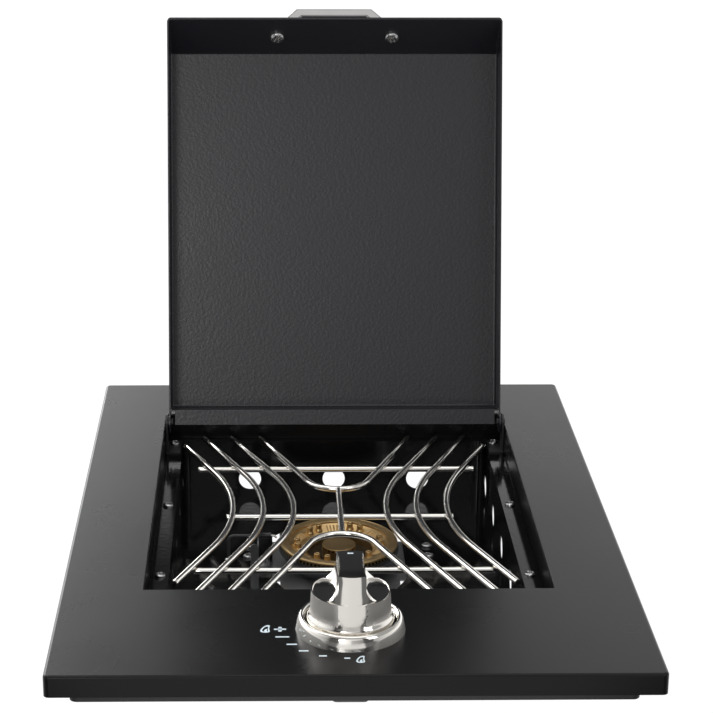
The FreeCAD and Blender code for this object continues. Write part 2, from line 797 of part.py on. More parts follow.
def grip_column():
    """The full-height middle of the knob before the scoops: two round ends that lean in a little, joined."""
    height = bow_top_z - knob_foot_z
    ends = []
    for side in (-1, 1):
        centre = Vector(knob_x, knob_y + side * bow_offset, knob_foot_z)
        ends.append(Part.makeCone(bow_radius, bow_top_radius, height, centre))
    crown = rod(crown_radius, 80, Vector(knob_x - 40, knob_y + crown_y, crown_z - crown_radius), along_x)
    return ends[0].fuse(ends[1]).common(crown)


def scoop(side):
    """What is taken away beside the grip: a round-cornered sweep above the rim and an oval bowl below it."""
    corner_z = knob_rim_z + flare_height
    inner = waist_sweep - flare_width
    low = Vector(inner, 0, knob_rim_z)
    high = Vector(waist_sweep, 0, corner_z)
    middle = Vector(waist_sweep - flare_width * (1 - math.sin(math.pi / 4)), 0,
                    corner_z - flare_height * math.cos(math.pi / 4))
    top = bow_top_z + 5
    near = inner - 40
    outline = [line(Vector(near, 0, top), Vector(near, 0, knob_rim_z)), line(Vector(near, 0, knob_rim_z), low),
               arc(low, middle, high), line(high, Vector(waist_sweep, 0, top)),
               line(Vector(waist_sweep, 0, top), Vector(near, 0, top))]
    sweep_away = Part.Face(Part.Wire(outline)).revolve(Vector(0, 0, 0), along_z, 360)
    sweep_away.translate(Vector(knob_x + side * (waist_half + waist_sweep), knob_y, 0))
    stretch = FreeCAD.Matrix()
    stretch.scale(Vector(*bowl_half))
    bowl = Part.makeSphere(1).transformGeometry(stretch)
    bowl.translate(Vector(knob_x + side * bowl_x, knob_y, knob_rim_z))
    return [sweep_away, bowl]


def make_knob():
    """Round body with a flared skirt, a grip across it and a scoop on each side of the grip."""
    centre = Vector(knob_x, knob_y, 0)
    body = revolve([(0, knob_bottom), (knob_skirt, knob_bottom), (knob_skirt, knob_skirt_z), (knob_foot, knob_foot_z),
                    (knob_rim, knob_rim_z), (0, knob_rim_z)], centre)
    knob = body.fuse(grip_column())
    for side in (-1, 1):
        for tool in scoop(side):
            knob = knob.cut(tool)
    knob = knob.removeSplitter()
    socket = rod(spindle_radius, knob_socket_top - knob_bottom + 1, centre + Vector(0, 0, knob_bottom - 1))
    hollow = tube(24, collar_radius, 9, centre + Vector(0, 0, knob_bottom))
    return knob.cut(socket).cut(hollow)


def make_spindle():
    return rod(spindle_radius, knob_socket_top - spindle_foot, Vector(knob_x, knob_y, spindle_foot))


def make_push_collar():
    base = Vector(knob_x, knob_y, collar_top - collar_height)
    return tube(collar_radius, spindle_radius + running, collar_height, base)


def make_knob_spring():
    """Coil between the valve's bonnet and the collar, in short straight steps."""
    height = collar_top - collar_height - bonnet_top - 2 * spring_wire
    steps = 16
    points = []
    for k in range(spring_turns * steps + 1):
        angle = 2 * math.pi * k / steps
        points.append(Vector(knob_x + spring_radius * math.cos(angle), knob_y + spring_radius * math.sin(angle),
                             bonnet_top + spring_wire + height * k / (spring_turns * steps)))
    profile = Part.Wire(Part.makeCircle(spring_wire, points[0], points[1] - points[0]))
    coil = Part.BRepOffsetAPI.MakePipeShell(Part.makePolygon(points))
    coil.setTransitionMode(1)
    coil.add(profile)
    coil.build()
    coil.makeSolid()
    return coil.shape()


# Pan grate

def side_wire(index, side, z):
    """Straight rear end, one wide bend towards the middle and a straight front end."""
    near = wire_near + wire_near_pitch * index
    rear = wire_rear + wire_pitch * index
    front = wire_front + wire_pitch * index
    nr = math.sqrt(1 + rear_slope ** 2)
    nf = math.sqrt(1 + front_slope ** 2)
    a = near + rear_slope * rear_end - rear
    b = near - front_slope * front_end - front
    bend = (front_slope * a + rear_slope * b) / (front_slope * (nr - 1) + rear_slope * (nf - 1))
    middle = (a - (nr - 1) * bend) / rear_slope
    back_stop = outer_rear_end if index == 2 else rear_end
    front_stop = outer_front_end if index == 2 else front_end
    t1 = Vector(side * (near + bend - bend / nr), middle + bend * rear_slope / nr, z)
    t2 = Vector(side * (near + bend - bend / nf), middle - bend * front_slope / nf, z)
    start = Vector(side * (rear + rear_slope * (back_stop - rear_end)), back_stop, z)
    end = Vector(side * (front - front_slope * (front_stop - front_end)), front_stop, z)
    return sweep([line(start, t1), arc(t1, Vector(side * near, middle, z), t2), line(t2, end)], wire)


def bent_wire(end_x, end_y, tip_y, z):
    """Two straight legs from (end_x, end_y) that meet in one bend whose tip lies at tip_y."""
    way = 1 if end_y > tip_y else -1
    centre = Vector(0, tip_y + way * centre_bend, z)
    reach = Vector(end_x, end_y - centre.y, 0)
    distance = reach.Length
    towards = math.atan2(abs(reach.y), reach.x)
    turn = math.acos(centre_bend / distance)
    angle = towards - turn
    touch = Vector(centre_bend * math.cos(angle), centre.y + way * centre_bend * math.sin(angle), z)
    other = Vector(-touch.x, touch.y, z)
    right = Vector(end_x, end_y, z)
    left = Vector(-end_x, end_y, z)
    return sweep([line(left, other), arc(other, Vector(0, tip_y, z), touch), line(touch, right)], wire)


def make_grate():
    z = grate_z
    low = grate_z - 2 * wire
    for side, name in ((-1, "grate_left_wires"), (1, "grate_right_wires")):
        save(name, *[side_wire(k, side, z) for k in range(3)])
    save("grate_vee_wire", bent_wire(vee_rear, rear_end, vee_bottom, z))
    save("grate_arch_wire", bent_wire(arch_front, front_end, arch_top, z))
    first = arch_top + wire
    save("grate_centre_bar", rod(wire, vee_bottom - wire - first, Vector(0, first, z), along_y))
    save("grate_cross_rods", *[rod(wire, 2 * half, Vector(-half, y, low), along_x) for y, half in rods])


# Lid

def lid_outline(gap, mouth):
    """Side view of the lid's outside (gap 0) or inside (gap of one sheet), as A and B from the heel."""
    angle = math.atan2(lid_flange, lid_slope_run)
    out = lid_sheet - gap
    a_front = lid_length + out * math.tan(angle / 2)
    return [(-out, mouth), (-out, -out), (a_front, -out), (a_front + (mouth + out) / math.tan(angle), mouth)]


def lid_solid(gap, mouth, half, bend):
    points = [Vector(-half, a, b) for a, b in lid_outline(gap, mouth)]
    shape = prism(points, along_x, 2 * half)
    edges = [e for e in shape.Edges if abs(e.BoundBox.ZMin - mouth) > 0.01 or abs(e.BoundBox.ZMax - mouth) > 0.01]
    return shape.makeFillet(bend, edges)


def place_lid(shape):
    shape = shape.copy()
    shape.rotate(Vector(0, 0, 0), along_x, 90 - lid_lean)
    shape.translate(Vector(0, lid_heel_y, lid_heel_z))
    return shape


def pin_in_lid():
    """The hinge pin's place in the lid's own coordinates."""
    lean = math.radians(lid_lean)
    dy = pin_y - lid_heel_y
    dz = pin_z - lid_heel_z
    return dy * math.sin(lean) + dz * math.cos(lean), -dy * math.cos(lean) + dz * math.sin(lean)


def make_lid_shell():
    shell = lid_solid(0, lid_flange, lid_half, lid_bend)
    shell = shell.cut(lid_solid(lid_sheet, lid_flange + 10, lid_half - lid_sheet, lid_bend - lid_sheet))
    lip = block(-lid_lip_half, lid_lip_half, -lid_lip, 0, lid_flange - lid_sheet, lid_flange)
    shell = shell.fuse(lip)
    a, b = pin_in_lid()
    for side in (-1, 1):
        x = lid_half - lid_sheet if side > 0 else -lid_half
        ear = rod(ear_radius, lid_sheet, Vector(x, a, b), along_x)
        web = block(x, x + lid_sheet, a, 12, b - 14, b + ear_radius * 0.6)
        web = web.cut(block(x - 1, x + 3, a - 0.1, 40, lid_flange, b + 20)) if b < lid_flange else web
        shell = shell.fuse(ear).fuse(web)
    shell = shell.cut(rod(pin_radius, 2 * lid_half + 4, Vector(-lid_half - 2, a, b), along_x))
    for x in (-handle_half, handle_half):
        shell = shell.cut(on_slope(rod(m4_clear, 8, Vector(x, 0, -4))))
    return shell.removeSplitter()


def on_slope(shape):
    """Move a shape from the middle of the sloped flange's inner face (Z outward) into lid coordinates."""
    angle = math.degrees(math.atan2(lid_flange, lid_slope_run))
    shape = shape.copy()
    shape.rotate(Vector(0, 0, 0), along_x, angle - 180)
    shape.translate(Vector(0, lid_length + lid_slope_run / 2, lid_flange / 2))
    return shape


def make_handle():
    s = lid_sheet
    outer = [(handle_half + 6, s), (handle_flat + 3, s + handle_rise), (-handle_flat - 3, s + handle_rise),
             (-handle_half - 6, s)]
    inner = [(-handle_half + 5, s), (-handle_flat + 2, s + handle_rise - handle_bar),
             (handle_flat - 2, s + handle_rise - handle_bar), (handle_half - 5, s)]
    points = [Vector(x, -handle_width / 2, z) for x, z in outer + inner]
    bow = prism(points, along_y, handle_width)
    long_edges = [e for e in bow.Edges if e.BoundBox.YLength < 0.01 and e.BoundBox.ZMax > s + 1]
    bow = bow.makeFillet(handle_edge, long_edges)
    for x in (-handle_half, handle_half):
        bow = bow.cut(rod(m4, 10, Vector(x, 0, s)))
    return bow


def make_handle_screws():
    screws = []
    for x in (-handle_half, handle_half):
        screw = pan_screw(0, 0, 0, lid_sheet + handle_screw_shank, handle_screw_head, m4)
        screw.rotate(Vector(0, 0, 0), along_x, 180)
        screw.translate(Vector(x, 0, 0))
        screws.append(screw)
    return screws


def make_hinge_pin():
    inside = lid_half - lid_sheet
    head = rod(pin_head, 1.8, Vector(inside - 1.8, pin_y, pin_z), along_x)
    shank = rod(pin_radius, tab_inner + tab_sheet + 1.2 - inside, Vector(inside, pin_y, pin_z), along_x)
    rivet = rod(pin_rivet, 1.1, Vector(tab_inner + tab_sheet + 0.1, pin_y, pin_z), along_x)
    return head.fuse(shank).fuse(rivet).removeSplitter()


def make_hinge_washer():
    return tube(washer_radius, pin_radius + running, 1.0, Vector(lid_half + 0.1, pin_y, pin_z), along_x)


def make_hinge_bracket():
    foot = block(bracket_foot_inner, tab_inner + tab_sheet, *bracket_foot_y, ledge, ledge + tab_sheet)
    tab = block(tab_inner, tab_inner + tab_sheet, pin_y - eye_radius, pin_y + eye_radius, ledge, pin_z)
    eye = rod(eye_radius, tab_sheet, Vector(tab_inner, pin_y, pin_z), along_x)
    bracket = foot.fuse(tab).fuse(eye).removeSplitter()
    bracket = bracket.cut(rod(pin_radius + running, 6, Vector(tab_inner - 2, pin_y, pin_z), along_x))
    return bracket.cut(rod(m4_clear, 6, Vector(ledge_screw_x, ledge_screw_y[-1], ledge - 2)))


def make_stop_buffer():
    return block(*buffer_x, *buffer_y, 0, buffer_top)


os.makedirs("parts", exist_ok=True)

save("deck_frame", make_deck())
save("under_skirt", make_skirt())
save("burner_box", make_box())
save("box_screws", *make_box_screws())
save("box_nuts", *make_box_nuts())

save("burner_carrier", make_carrier())
save("carrier_screws", *make_carrier_screws())
save("burner_base", make_burner_base())
save("venturi_tube", make_venturi())
save("air_shutter", make_air_shutter())
save("burner_ring", make_burner_ring())
save("burner_nozzles", *make_nozzles())
save("burner_cap", make_cap())

save("jet_bracket", make_jet_bracket())
save("jet_bracket_screws", *make_jet_bracket_screws())
save("jet_holder", make_jet_holder())
save("gas_jet", make_gas_jet())
save("feed_pipe", make_feed_pipe())
save("valve_bracket", make_valve_bracket())
save("bezel_screws", *make_bezel_screws())
save("gas_valve_body", make_valve_body())
save("valve_screws", *make_valve_screws())
save("gas_inlet_connector", make_inlet_connector())

save("igniter_bracket", make_igniter_bracket())
save("igniter_electrode", make_electrode())
save("igniter_tip", make_electrode_tip())
save("igniter_screw", make_igniter_screw())
save("igniter_lead", make_igniter_lead())

save("knob_bezel", make_bezel())
save("control_knob", make_knob())
save("knob_spindle", make_spindle())
save("push_collar", make_push_collar())
save("knob_spring", make_knob_spring())

make_grate()

save("lid_shell", place_lid(make_lid_shell()))
save("lid_handle", place_lid(on_slope(make_handle())))
save("handle_screws", *[place_lid(on_slope(s)) for s in make_handle_screws()])
save("hinge_pins", *both_sides(make_hinge_pin()))
save("hinge_washers", *both_sides(make_hinge_washer()))
save("hinge_bracket_right", make_hinge_bracket())
save("hinge_bracket_left", mirror_x(make_hinge_bracket()))
save("lid_stop_buffers", *both_sides(make_stop_buffer()))
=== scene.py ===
import bmesh
import bpy
import json
import math
import numpy as np
from mathutils import Matrix, Vector


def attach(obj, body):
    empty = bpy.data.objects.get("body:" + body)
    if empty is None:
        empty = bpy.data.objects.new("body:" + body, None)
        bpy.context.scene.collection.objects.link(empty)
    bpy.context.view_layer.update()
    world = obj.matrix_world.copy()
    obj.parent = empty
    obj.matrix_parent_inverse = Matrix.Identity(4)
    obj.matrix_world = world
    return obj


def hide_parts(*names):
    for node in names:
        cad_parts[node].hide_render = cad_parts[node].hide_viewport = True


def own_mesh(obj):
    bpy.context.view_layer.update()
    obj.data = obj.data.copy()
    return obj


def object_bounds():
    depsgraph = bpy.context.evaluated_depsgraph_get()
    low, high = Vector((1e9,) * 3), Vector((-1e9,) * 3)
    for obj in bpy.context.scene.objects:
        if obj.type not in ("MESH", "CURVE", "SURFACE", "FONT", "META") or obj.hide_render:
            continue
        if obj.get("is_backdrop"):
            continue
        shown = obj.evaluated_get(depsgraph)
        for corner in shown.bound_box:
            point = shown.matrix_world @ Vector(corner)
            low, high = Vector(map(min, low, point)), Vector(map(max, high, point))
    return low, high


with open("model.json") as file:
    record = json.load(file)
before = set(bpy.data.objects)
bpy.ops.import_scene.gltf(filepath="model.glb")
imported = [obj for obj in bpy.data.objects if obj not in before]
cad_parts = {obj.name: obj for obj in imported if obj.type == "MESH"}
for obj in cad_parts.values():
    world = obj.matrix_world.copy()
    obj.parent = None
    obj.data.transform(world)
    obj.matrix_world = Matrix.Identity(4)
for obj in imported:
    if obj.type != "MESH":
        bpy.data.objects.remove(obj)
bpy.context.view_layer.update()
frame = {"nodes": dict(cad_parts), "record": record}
mm = 0.001
deckTop = 15.0                      # the deck's top face above the worktop, mm
deckFront = -280.0                  # its front edge
print("stage: frame loaded,", len(frame["nodes"]), "nodes")


def onDeck(x, y, z):
    # deck measures (from its front edge and its top face, mm) to the frame, in metres
    return np.array([x, y + deckFront, z + deckTop]) * mm


def onDeckArray(points):
    return (points + np.array([0, deckFront, deckTop])) * mm


# Camera, the photographed view

cameraSetup = {
    "place": (-55.487, -1187.802, 612.525),    # deck measures
    "pitch": 18.546,
    "yaw": 0.904,
    "roll": 0.160,
    "focalPixels": 2078.189,
    "imageSide": 713.0,
    "axisPixel": (300.0, 356.5),
    "sensor": 36.0,
}


def placeCamera(setup):
    pitch, yaw, roll = (math.radians(setup[k]) for k in ("pitch", "yaw", "roll"))
    ahead = Vector((math.sin(yaw) * math.cos(pitch), math.cos(yaw) * math.cos(pitch), -math.sin(pitch)))
    right = ahead.cross(Vector((0, 0, 1))).normalized()
    up = right.cross(ahead)
    tiltRight = right * math.cos(roll) + up * math.sin(roll)
    tiltUp = up * math.cos(roll) - right * math.sin(roll)
    lens = bpy.data.cameras.new("viewCamera")
    lens.sensor_width = setup["sensor"]
    lens.lens = setup["sensor"] * setup["focalPixels"] / setup["imageSide"]
    lens.shift_x = (setup["imageSide"] / 2 - setup["axisPixel"][0]) / setup["imageSide"]
    lens.shift_y = (setup["axisPixel"][1] - setup["imageSide"] / 2) / setup["imageSide"]
    lens.clip_end = 50
    camera = bpy.data.objects.new("viewCamera", lens)
    turn = Matrix((tiltRight, tiltUp, -ahead)).transposed().to_4x4()
    camera.matrix_world = Matrix.Translation(Vector(onDeck(*setup["place"]))) @ turn
    bpy.context.scene.collection.objects.link(camera)
    bpy.context.scene.camera = camera


placeCamera(cameraSetup)


# Floor, surroundings and soft boxes

studioSetup = {
    "floorSize": 14.0,
    "floorColour": (0.12, 0.12, 0.122, 1),
    "floorAround": ((0.0, 0.74), (0.068, 0.80), (0.076, 0.0), (0.125, 0.0), (0.16, 0.62), (0.5, 0.62), (0.84, 0.58),
                    (0.875, 0.0), (0.926, 0.0), (0.934, 0.74), (1.0, 0.74)),
    "azimuthHigh": ((0.0, 1.1), (0.066, 1.3), (0.074, 0.04), (0.125, 0.04), (0.15, 0.6), (0.33, 2.0), (0.445, 9.0),
                    (0.472, 1.5), (0.485, 0.04), (0.512, 0.04), (0.53, 0.9), (0.70, 0.5), (0.87, 0.4), (0.875, 0.04),
                    (0.926, 0.04), (0.934, 0.8), (1.0, 1.1)),
    "azimuthLow": ((0.0, 1.0), (0.066, 1.8), (0.074, 0.10), (0.125, 0.10), (0.15, 0.5), (0.40, 2.0), (0.465, 5.0),
                   (0.49, 1.6), (0.70, 1.2), (0.87, 0.5), (0.875, 0.10), (0.926, 0.10), (0.934, 0.35), (1.0, 0.6)),
    "backdropTop": (0.33, 0.40),            # sine of the elevation where the lower ramp gives way
    "haze": (0.56, 0.62, 0.45),             # where it starts and where it is full, as sines, and its grey
    "ceiling": (0.86, 0.94, 1.5),
}


def stops(tree, factor, places):
    # colour ramp from (place, grey) pairs
    node = tree.nodes.new("ShaderNodeValToRGB")
    tree.links.new(factor, node.inputs[0])
    ends = node.color_ramp.elements
    while len(ends) < len(places):
        ends.new(0.5)
    for end, (place, grey) in zip(ends, places):
        end.position = place
        end.color = (grey, grey, grey, 1)
    return node.outputs["Color"]


def mixed(tree, factor, first, second):
    # first or second may be a link or a grey value
    node = tree.nodes.new("ShaderNodeMixRGB")
    tree.links.new(factor, node.inputs["Fac"])
    for socket, value in (("Color1", first), ("Color2", second)):
        if isinstance(value, float):
            node.inputs[socket].default_value = (value, value, value, 1)
        else:
            tree.links.new(value, node.inputs[socket])
    return node.outputs["Color"]


def spread(tree, value, low, high, toLow, toHigh):
    node = tree.nodes.new("ShaderNodeMapRange")
    tree.links.new(value, node.inputs["Value"])
    for socket, number in zip(("From Min", "From Max", "To Min", "To Max"), (low, high, toLow, toHigh)):
        if isinstance(number, (int, float)):
            node.inputs[socket].default_value = number
        else:
            tree.links.new(number, node.inputs[socket])
    return node.outputs["Result"]


def bearingShare(tree, split):
    # 0.5 straight behind, 0 and 1 in front, below 0.5 on the left
    bearing = tree.nodes.new("ShaderNodeMath")
    bearing.operation = "ARCTAN2"
    tree.links.new(split.outputs["X"], bearing.inputs[0])
    tree.links.new(split.outputs["Y"], bearing.inputs[1])
    return spread(tree, bearing.outputs[0], -math.pi, math.pi, 0.0, 1.0)


def makeFloor(setup):
    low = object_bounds()[0][2]
    half = setup["floorSize"] / 2
    mesh = bpy.data.meshes.new("studioFloor")
    corners = [(-half, -half, low), (half, -half, low), (half, half, low), (-half, half, low)]
    mesh.from_pydata(corners, [], [(0, 1, 2, 3)])
    floor = bpy.data.objects.new("studioFloor", mesh)
    bpy.context.scene.collection.objects.link(floor)
    paper = bpy.data.materials.new("studioPaper")
    paper.use_nodes = True
    tree = paper.node_tree
    shader = tree.nodes["Principled BSDF"]
    shader.inputs["Roughness"].default_value = 0.9
    sight = tree.nodes.new("ShaderNodeLightPath")
    seen = sight.outputs["Is Camera Ray"]
    shade = tree.nodes.new("ShaderNodeMixRGB")
    tree.links.new(seen, shade.inputs["Fac"])
    shade.inputs["Color1"].default_value = setup["floorColour"]
    shade.inputs["Color2"].default_value = (0, 0, 0, 1)
    tree.links.new(shade.outputs["Color"], shader.inputs["Base Color"])
    where = tree.nodes.new("ShaderNodeTexCoord")
    split = tree.nodes.new("ShaderNodeSeparateXYZ")
    tree.links.new(where.outputs["Object"], split.inputs[0])
    glow = stops(tree, bearingShare(tree, split), setup["floorAround"])
    tree.links.new(mixed(tree, seen, glow, 1.0), shader.inputs["Emission Color"])
    shader.inputs["Emission Strength"].default_value = 1.0
    mesh.materials.append(paper)
    floor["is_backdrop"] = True


def makeSurroundings(setup):
    world = bpy.data.worlds.new("studioWorld")
    bpy.context.scene.world = world
    world.use_nodes = True
    tree = world.node_tree
    where = tree.nodes.new("ShaderNodeTexCoord")
    split = tree.nodes.new("ShaderNodeSeparateXYZ")
    tree.links.new(where.outputs["Generated"], split.inputs[0])
    share = bearingShare(tree, split)
    high = stops(tree, share, setup["azimuthHigh"])
    low = stops(tree, share, setup["azimuthLow"])
    room = mixed(tree, spread(tree, split.outputs["Z"], *setup["backdropTop"], 0.0, 1.0), low, high)
    for start, end, grey in (setup["haze"], setup["ceiling"]):
        room = mixed(tree, spread(tree, split.outputs["Z"], start, end, 0.0, 1.0), room, grey)
    sight = tree.nodes.new("ShaderNodeLightPath")
    seen = mixed(tree, sight.outputs["Is Camera Ray"], room, 1.0)
    tree.links.new(seen, tree.nodes["Background"].inputs["Color"])


softBoxes = {
    "overLeft": {"place": (-1.1, 0.3, 1.7), "aim": (0, 0.0, 0.0), "size": (1.0, 1.4), "watts": 7},
    "frontRight": {"place": (1.3, -1.4, 1.1), "aim": (0, -0.1, 0.0), "size": (0.7, 1.1), "watts": 5},
    "frontLeft": {"place": (-0.75, -2.3, 0.74), "aim": (-0.1, 0.2, 0.15), "size": (0.5, 0.5), "watts": 7},
}


def makeSoftBox(name, box):
    lamp = bpy.data.lights.new(name, "AREA")
    lamp.shape = "RECTANGLE"
    lamp.size, lamp.size_y = box["size"]
    lamp.energy = box["watts"]
    holder = bpy.data.objects.new(name, lamp)
    place = Vector(box["place"])
    holder.rotation_euler = (Vector(box["aim"]) - place).to_track_quat("-Z", "Y").to_euler()
    holder.location = place
    bpy.context.scene.collection.objects.link(holder)


makeFloor(studioSetup)
makeSurroundings(studioSetup)
for boxName, box in softBoxes.items():
    makeSoftBox(boxName, box)
bpy.context.scene.view_settings.view_transform = "Standard"
print("stage: camera and studio")


# Materials

def newMaterial(name):
    material = bpy.data.materials.new(name)
    material.use_nodes = True
    return material, material.node_tree, material.node_tree.nodes["Principled BSDF"]


def newGroup(name, inputs, outputs):
    group = bpy.data.node_groups.new(name, "ShaderNodeTree")
    for label, kind, value in inputs:
        socket = group.interface.new_socket(name=label, in_out="INPUT", socket_type=kind)
        if value is not None:
            socket.default_value = value
    for label, kind in outputs:
        group.interface.new_socket(name=label, in_out="OUTPUT", socket_type=kind)
    start = group.nodes.new("NodeGroupInput")
    end = group.nodes.new("NodeGroupOutput")
    return group, start, end


def noise(tree, vector, scale, detail):
    node = tree.nodes.new("ShaderNodeTexNoise")
    node.inputs["Scale"].default_value = scale
    node.inputs["Detail"].default_value = detail
    tree.links.new(vector, node.inputs["Vector"])
    return node.outputs["Fac"]


def makeOrangePeel():
    # fine waves of sprayed enamel, with slow changes of gloss and a little dust
    group, start, end = newGroup(
        "orangePeel",
        [("Vector", "NodeSocketVector", None), ("Wave Scale", "NodeSocketFloat", 700.0),
         ("Gloss Low", "NodeSocketFloat", 0.25), ("Gloss High", "NodeSocketFloat", 0.32)],
        [("Roughness", "NodeSocketFloat"), ("Bump Height", "NodeSocketFloat"), ("Dust", "NodeSocketFloat")])
    wave = noise(group, start.outputs["Vector"], 1.0, 1.5)
    group.links.new(start.outputs["Wave Scale"], wave.node.inputs["Scale"])
    group.links.new(wave, end.inputs["Bump Height"])
    slow = noise(group, start.outputs["Vector"], 9.0, 4.0)
    gloss = spread(group, slow, 0.3, 0.7, start.outputs["Gloss Low"], start.outputs["Gloss High"])
    group.links.new(gloss, end.inputs["Roughness"])
    specks = noise(group, start.outputs["Vector"], 900.0, 2.0)
    group.links.new(spread(group, specks, 0.7, 0.8, 0.0, 1.0), end.inputs["Dust"])
    return group


orangePeel = makeOrangePeel()


def objectPlace(tree):
    return tree.nodes.new("ShaderNodeTexCoord").outputs["Object"]


def tint(tree, factor, dark, light):
    mix = tree.nodes.new("ShaderNodeMix")
    mix.data_type = "RGBA"
    tree.links.new(factor, mix.inputs["Factor"])
    mix.inputs[6].default_value = tuple(dark) + (1,)
    mix.inputs[7].default_value = tuple(light) + (1,)
    return mix.outputs[2]


def bump(tree, height, strength, distance, shader):
    node = tree.nodes.new("ShaderNodeBump")
    node.inputs["Strength"].default_value = strength
    node.inputs["Distance"].default_value = distance
    tree.links.new(height, node.inputs["Height"])
    tree.links.new(node.outputs["Normal"], shader.inputs["Normal"])


def enamel(name, look):
    material, tree, shader = newMaterial(name)
    peel = tree.nodes.new("ShaderNodeGroup")
    peel.node_tree = orangePeel
    peel.inputs["Wave Scale"].default_value = look["waveScale"]
    peel.inputs["Gloss Low"].default_value, peel.inputs["Gloss High"].default_value = look["roughness"]
    tree.links.new(objectPlace(tree), peel.inputs["Vector"])
    tree.links.new(peel.outputs["Roughness"], shader.inputs["Roughness"])
    tree.links.new(tint(tree, peel.outputs["Dust"], look["colour"], look["dust"]), shader.inputs["Base Color"])
    bump(tree, peel.outputs["Bump Height"], look["bump"], look["bumpDepth"], shader)
    shader.inputs["Specular IOR Level"].default_value = look["specular"]
    return material


enamelFinishes = {
    "deckEnamel": {"colour": (0.004, 0.004, 0.0045), "dust": (0.015, 0.015, 0.016), "roughness": (0.26, 0.31),
                   "waveScale": 1400.0, "bump": 0.12, "bumpDepth": 0.0004, "specular": 0.22},
    "boxEnamel": {"colour": (0.004, 0.004, 0.004), "dust": (0.01, 0.01, 0.01), "roughness": (0.07, 0.12),
                  "waveScale": 260.0, "bump": 0.05, "bumpDepth": 0.0006, "specular": 0.5},
    "lidEnamel": {"colour": (0.010, 0.010, 0.014), "dust": (0.025, 0.025, 0.030), "roughness": (0.30, 0.36),
                  "waveScale": 420.0, "bump": 0.25, "bumpDepth": 0.0006, "specular": 0.5},
}
finish = {name: enamel(name, look) for name, look in enamelFinishes.items()}


def makeFineGrain():
    # slow smudges in the gloss and the shade, fine grain in the height
    group, start, end = newGroup(
        "fineGrain",
        [("Vector", "NodeSocketVector", None), ("Smudge", "NodeSocketFloat", 60.0),
         ("Grain", "NodeSocketFloat", 2000.0), ("Rough Low", "NodeSocketFloat", 0.2),
         ("Rough High", "NodeSocketFloat", 0.3)],
        [("Roughness", "NodeSocketFloat"), ("Shade", "NodeSocketFloat"), ("Bump Height", "NodeSocketFloat")])
    vector = start.outputs["Vector"]
    slow = noise(group, vector, 1.0, 4.0)
    group.links.new(start.outputs["Smudge"], slow.node.inputs["Scale"])
    group.links.new(spread(group, slow, 0.3, 0.7, start.outputs["Rough Low"], start.outputs["Rough High"]),
                    end.inputs["Roughness"])
    wide = group.nodes.new("ShaderNodeMath")
    wide.operation = "MULTIPLY"
    wide.inputs[1].default_value = 0.6
    group.links.new(start.outputs["Smudge"], wide.inputs[0])
    shade = noise(group, vector, 1.0, 2.0)
    group.links.new(wide.outputs[0], shade.node.inputs["Scale"])
    group.links.new(shade, end.inputs["Shade"])
    grain = noise(group, vector, 1.0, 2.0)
    group.links.new(start.outputs["Grain"], grain.node.inputs["Scale"])
    group.links.new(grain, end.inputs["Bump Height"])
    return group


fineGrain = makeFineGrain()


def grained(name, look, metallic):
    material, tree, shader = newMaterial(name)
    grain = tree.nodes.new("ShaderNodeGroup")
    grain.node_tree = fineGrain
    tree.links.new(objectPlace(tree), grain.inputs["Vector"])
    grain.inputs["Smudge"].default_value = look["smudge"]
    grain.inputs["Grain"].default_value = look["grain"]
    grain.inputs["Rough Low"].default_value, grain.inputs["Rough High"].default_value = look["roughness"]
    shader.inputs["Metallic"].default_value = metallic
    tree.links.new(grain.outputs["Roughness"], shader.inputs["Roughness"])
    tree.links.new(tint(tree, grain.outputs["Shade"], look["dark"], look["light"]), shader.inputs["Base Color"])
    bump(tree, grain.outputs["Bump Height"], look["bump"], 0.0002, shader)
    return material


metalLooks = {
    "chrome": {"dark": (0.70, 0.67, 0.62), "light": (0.80, 0.78, 0.74), "roughness": (0.07, 0.12),
               "smudge": 60.0, "grain": 2500.0, "bump": 0.02},
    "handleChrome": {"dark": (0.27, 0.265, 0.26), "light": (0.36, 0.355, 0.35), "roughness": (0.07, 0.12),
                     "smudge": 60.0, "grain": 2500.0, "bump": 0.02},
    "screwSteel": {"dark": (0.42, 0.42, 0.42), "light": (0.54, 0.54, 0.54), "roughness": (0.20, 0.28),
                   "smudge": 300.0, "grain": 4000.0, "bump": 0.05},
    "turnedSteel": {"dark": (0.72, 0.69, 0.65), "light": (0.84, 0.81, 0.77), "roughness": (0.32, 0.40),
                    "smudge": 60.0, "grain": 3000.0, "bump": 0.05},
    "wireSteel": {"dark": (0.86, 0.83, 0.78), "light": (0.94, 0.92, 0.88), "roughness": (0.16, 0.21),
                  "smudge": 80.0, "grain": 3000.0, "bump": 0.02},
    "satinSteel": {"dark": (0.60, 0.57, 0.53), "light": (0.72, 0.70, 0.66), "roughness": (0.20, 0.28),
                   "smudge": 80.0, "grain": 3000.0, "bump": 0.08},
    "zincSteel": {"dark": (0.34, 0.35, 0.36), "light": (0.48, 0.48, 0.49), "roughness": (0.28, 0.42),
                  "smudge": 50.0, "grain": 1800.0, "bump": 0.1},
    "castAlloy": {"dark": (0.10, 0.10, 0.105), "light": (0.16, 0.16, 0.165), "roughness": (0.45, 0.6),
                  "smudge": 70.0, "grain": 1500.0, "bump": 0.5},
    "brass": {"dark": (0.46, 0.31, 0.14), "light": (0.68, 0.49, 0.25), "roughness": (0.28, 0.42),
              "smudge": 120.0, "grain": 1600.0, "bump": 0.3},
    # brass darkened as painted shade: the teeth's slots, the cap's port dents and the cap's flange in its deep gap
    "paintedShadeBrass": {"dark": (0.030, 0.025, 0.018), "light": (0.08, 0.06, 0.04), "roughness": (0.5, 0.7),
                   "smudge": 200.0, "grain": 1600.0, "bump": 0.3},
}
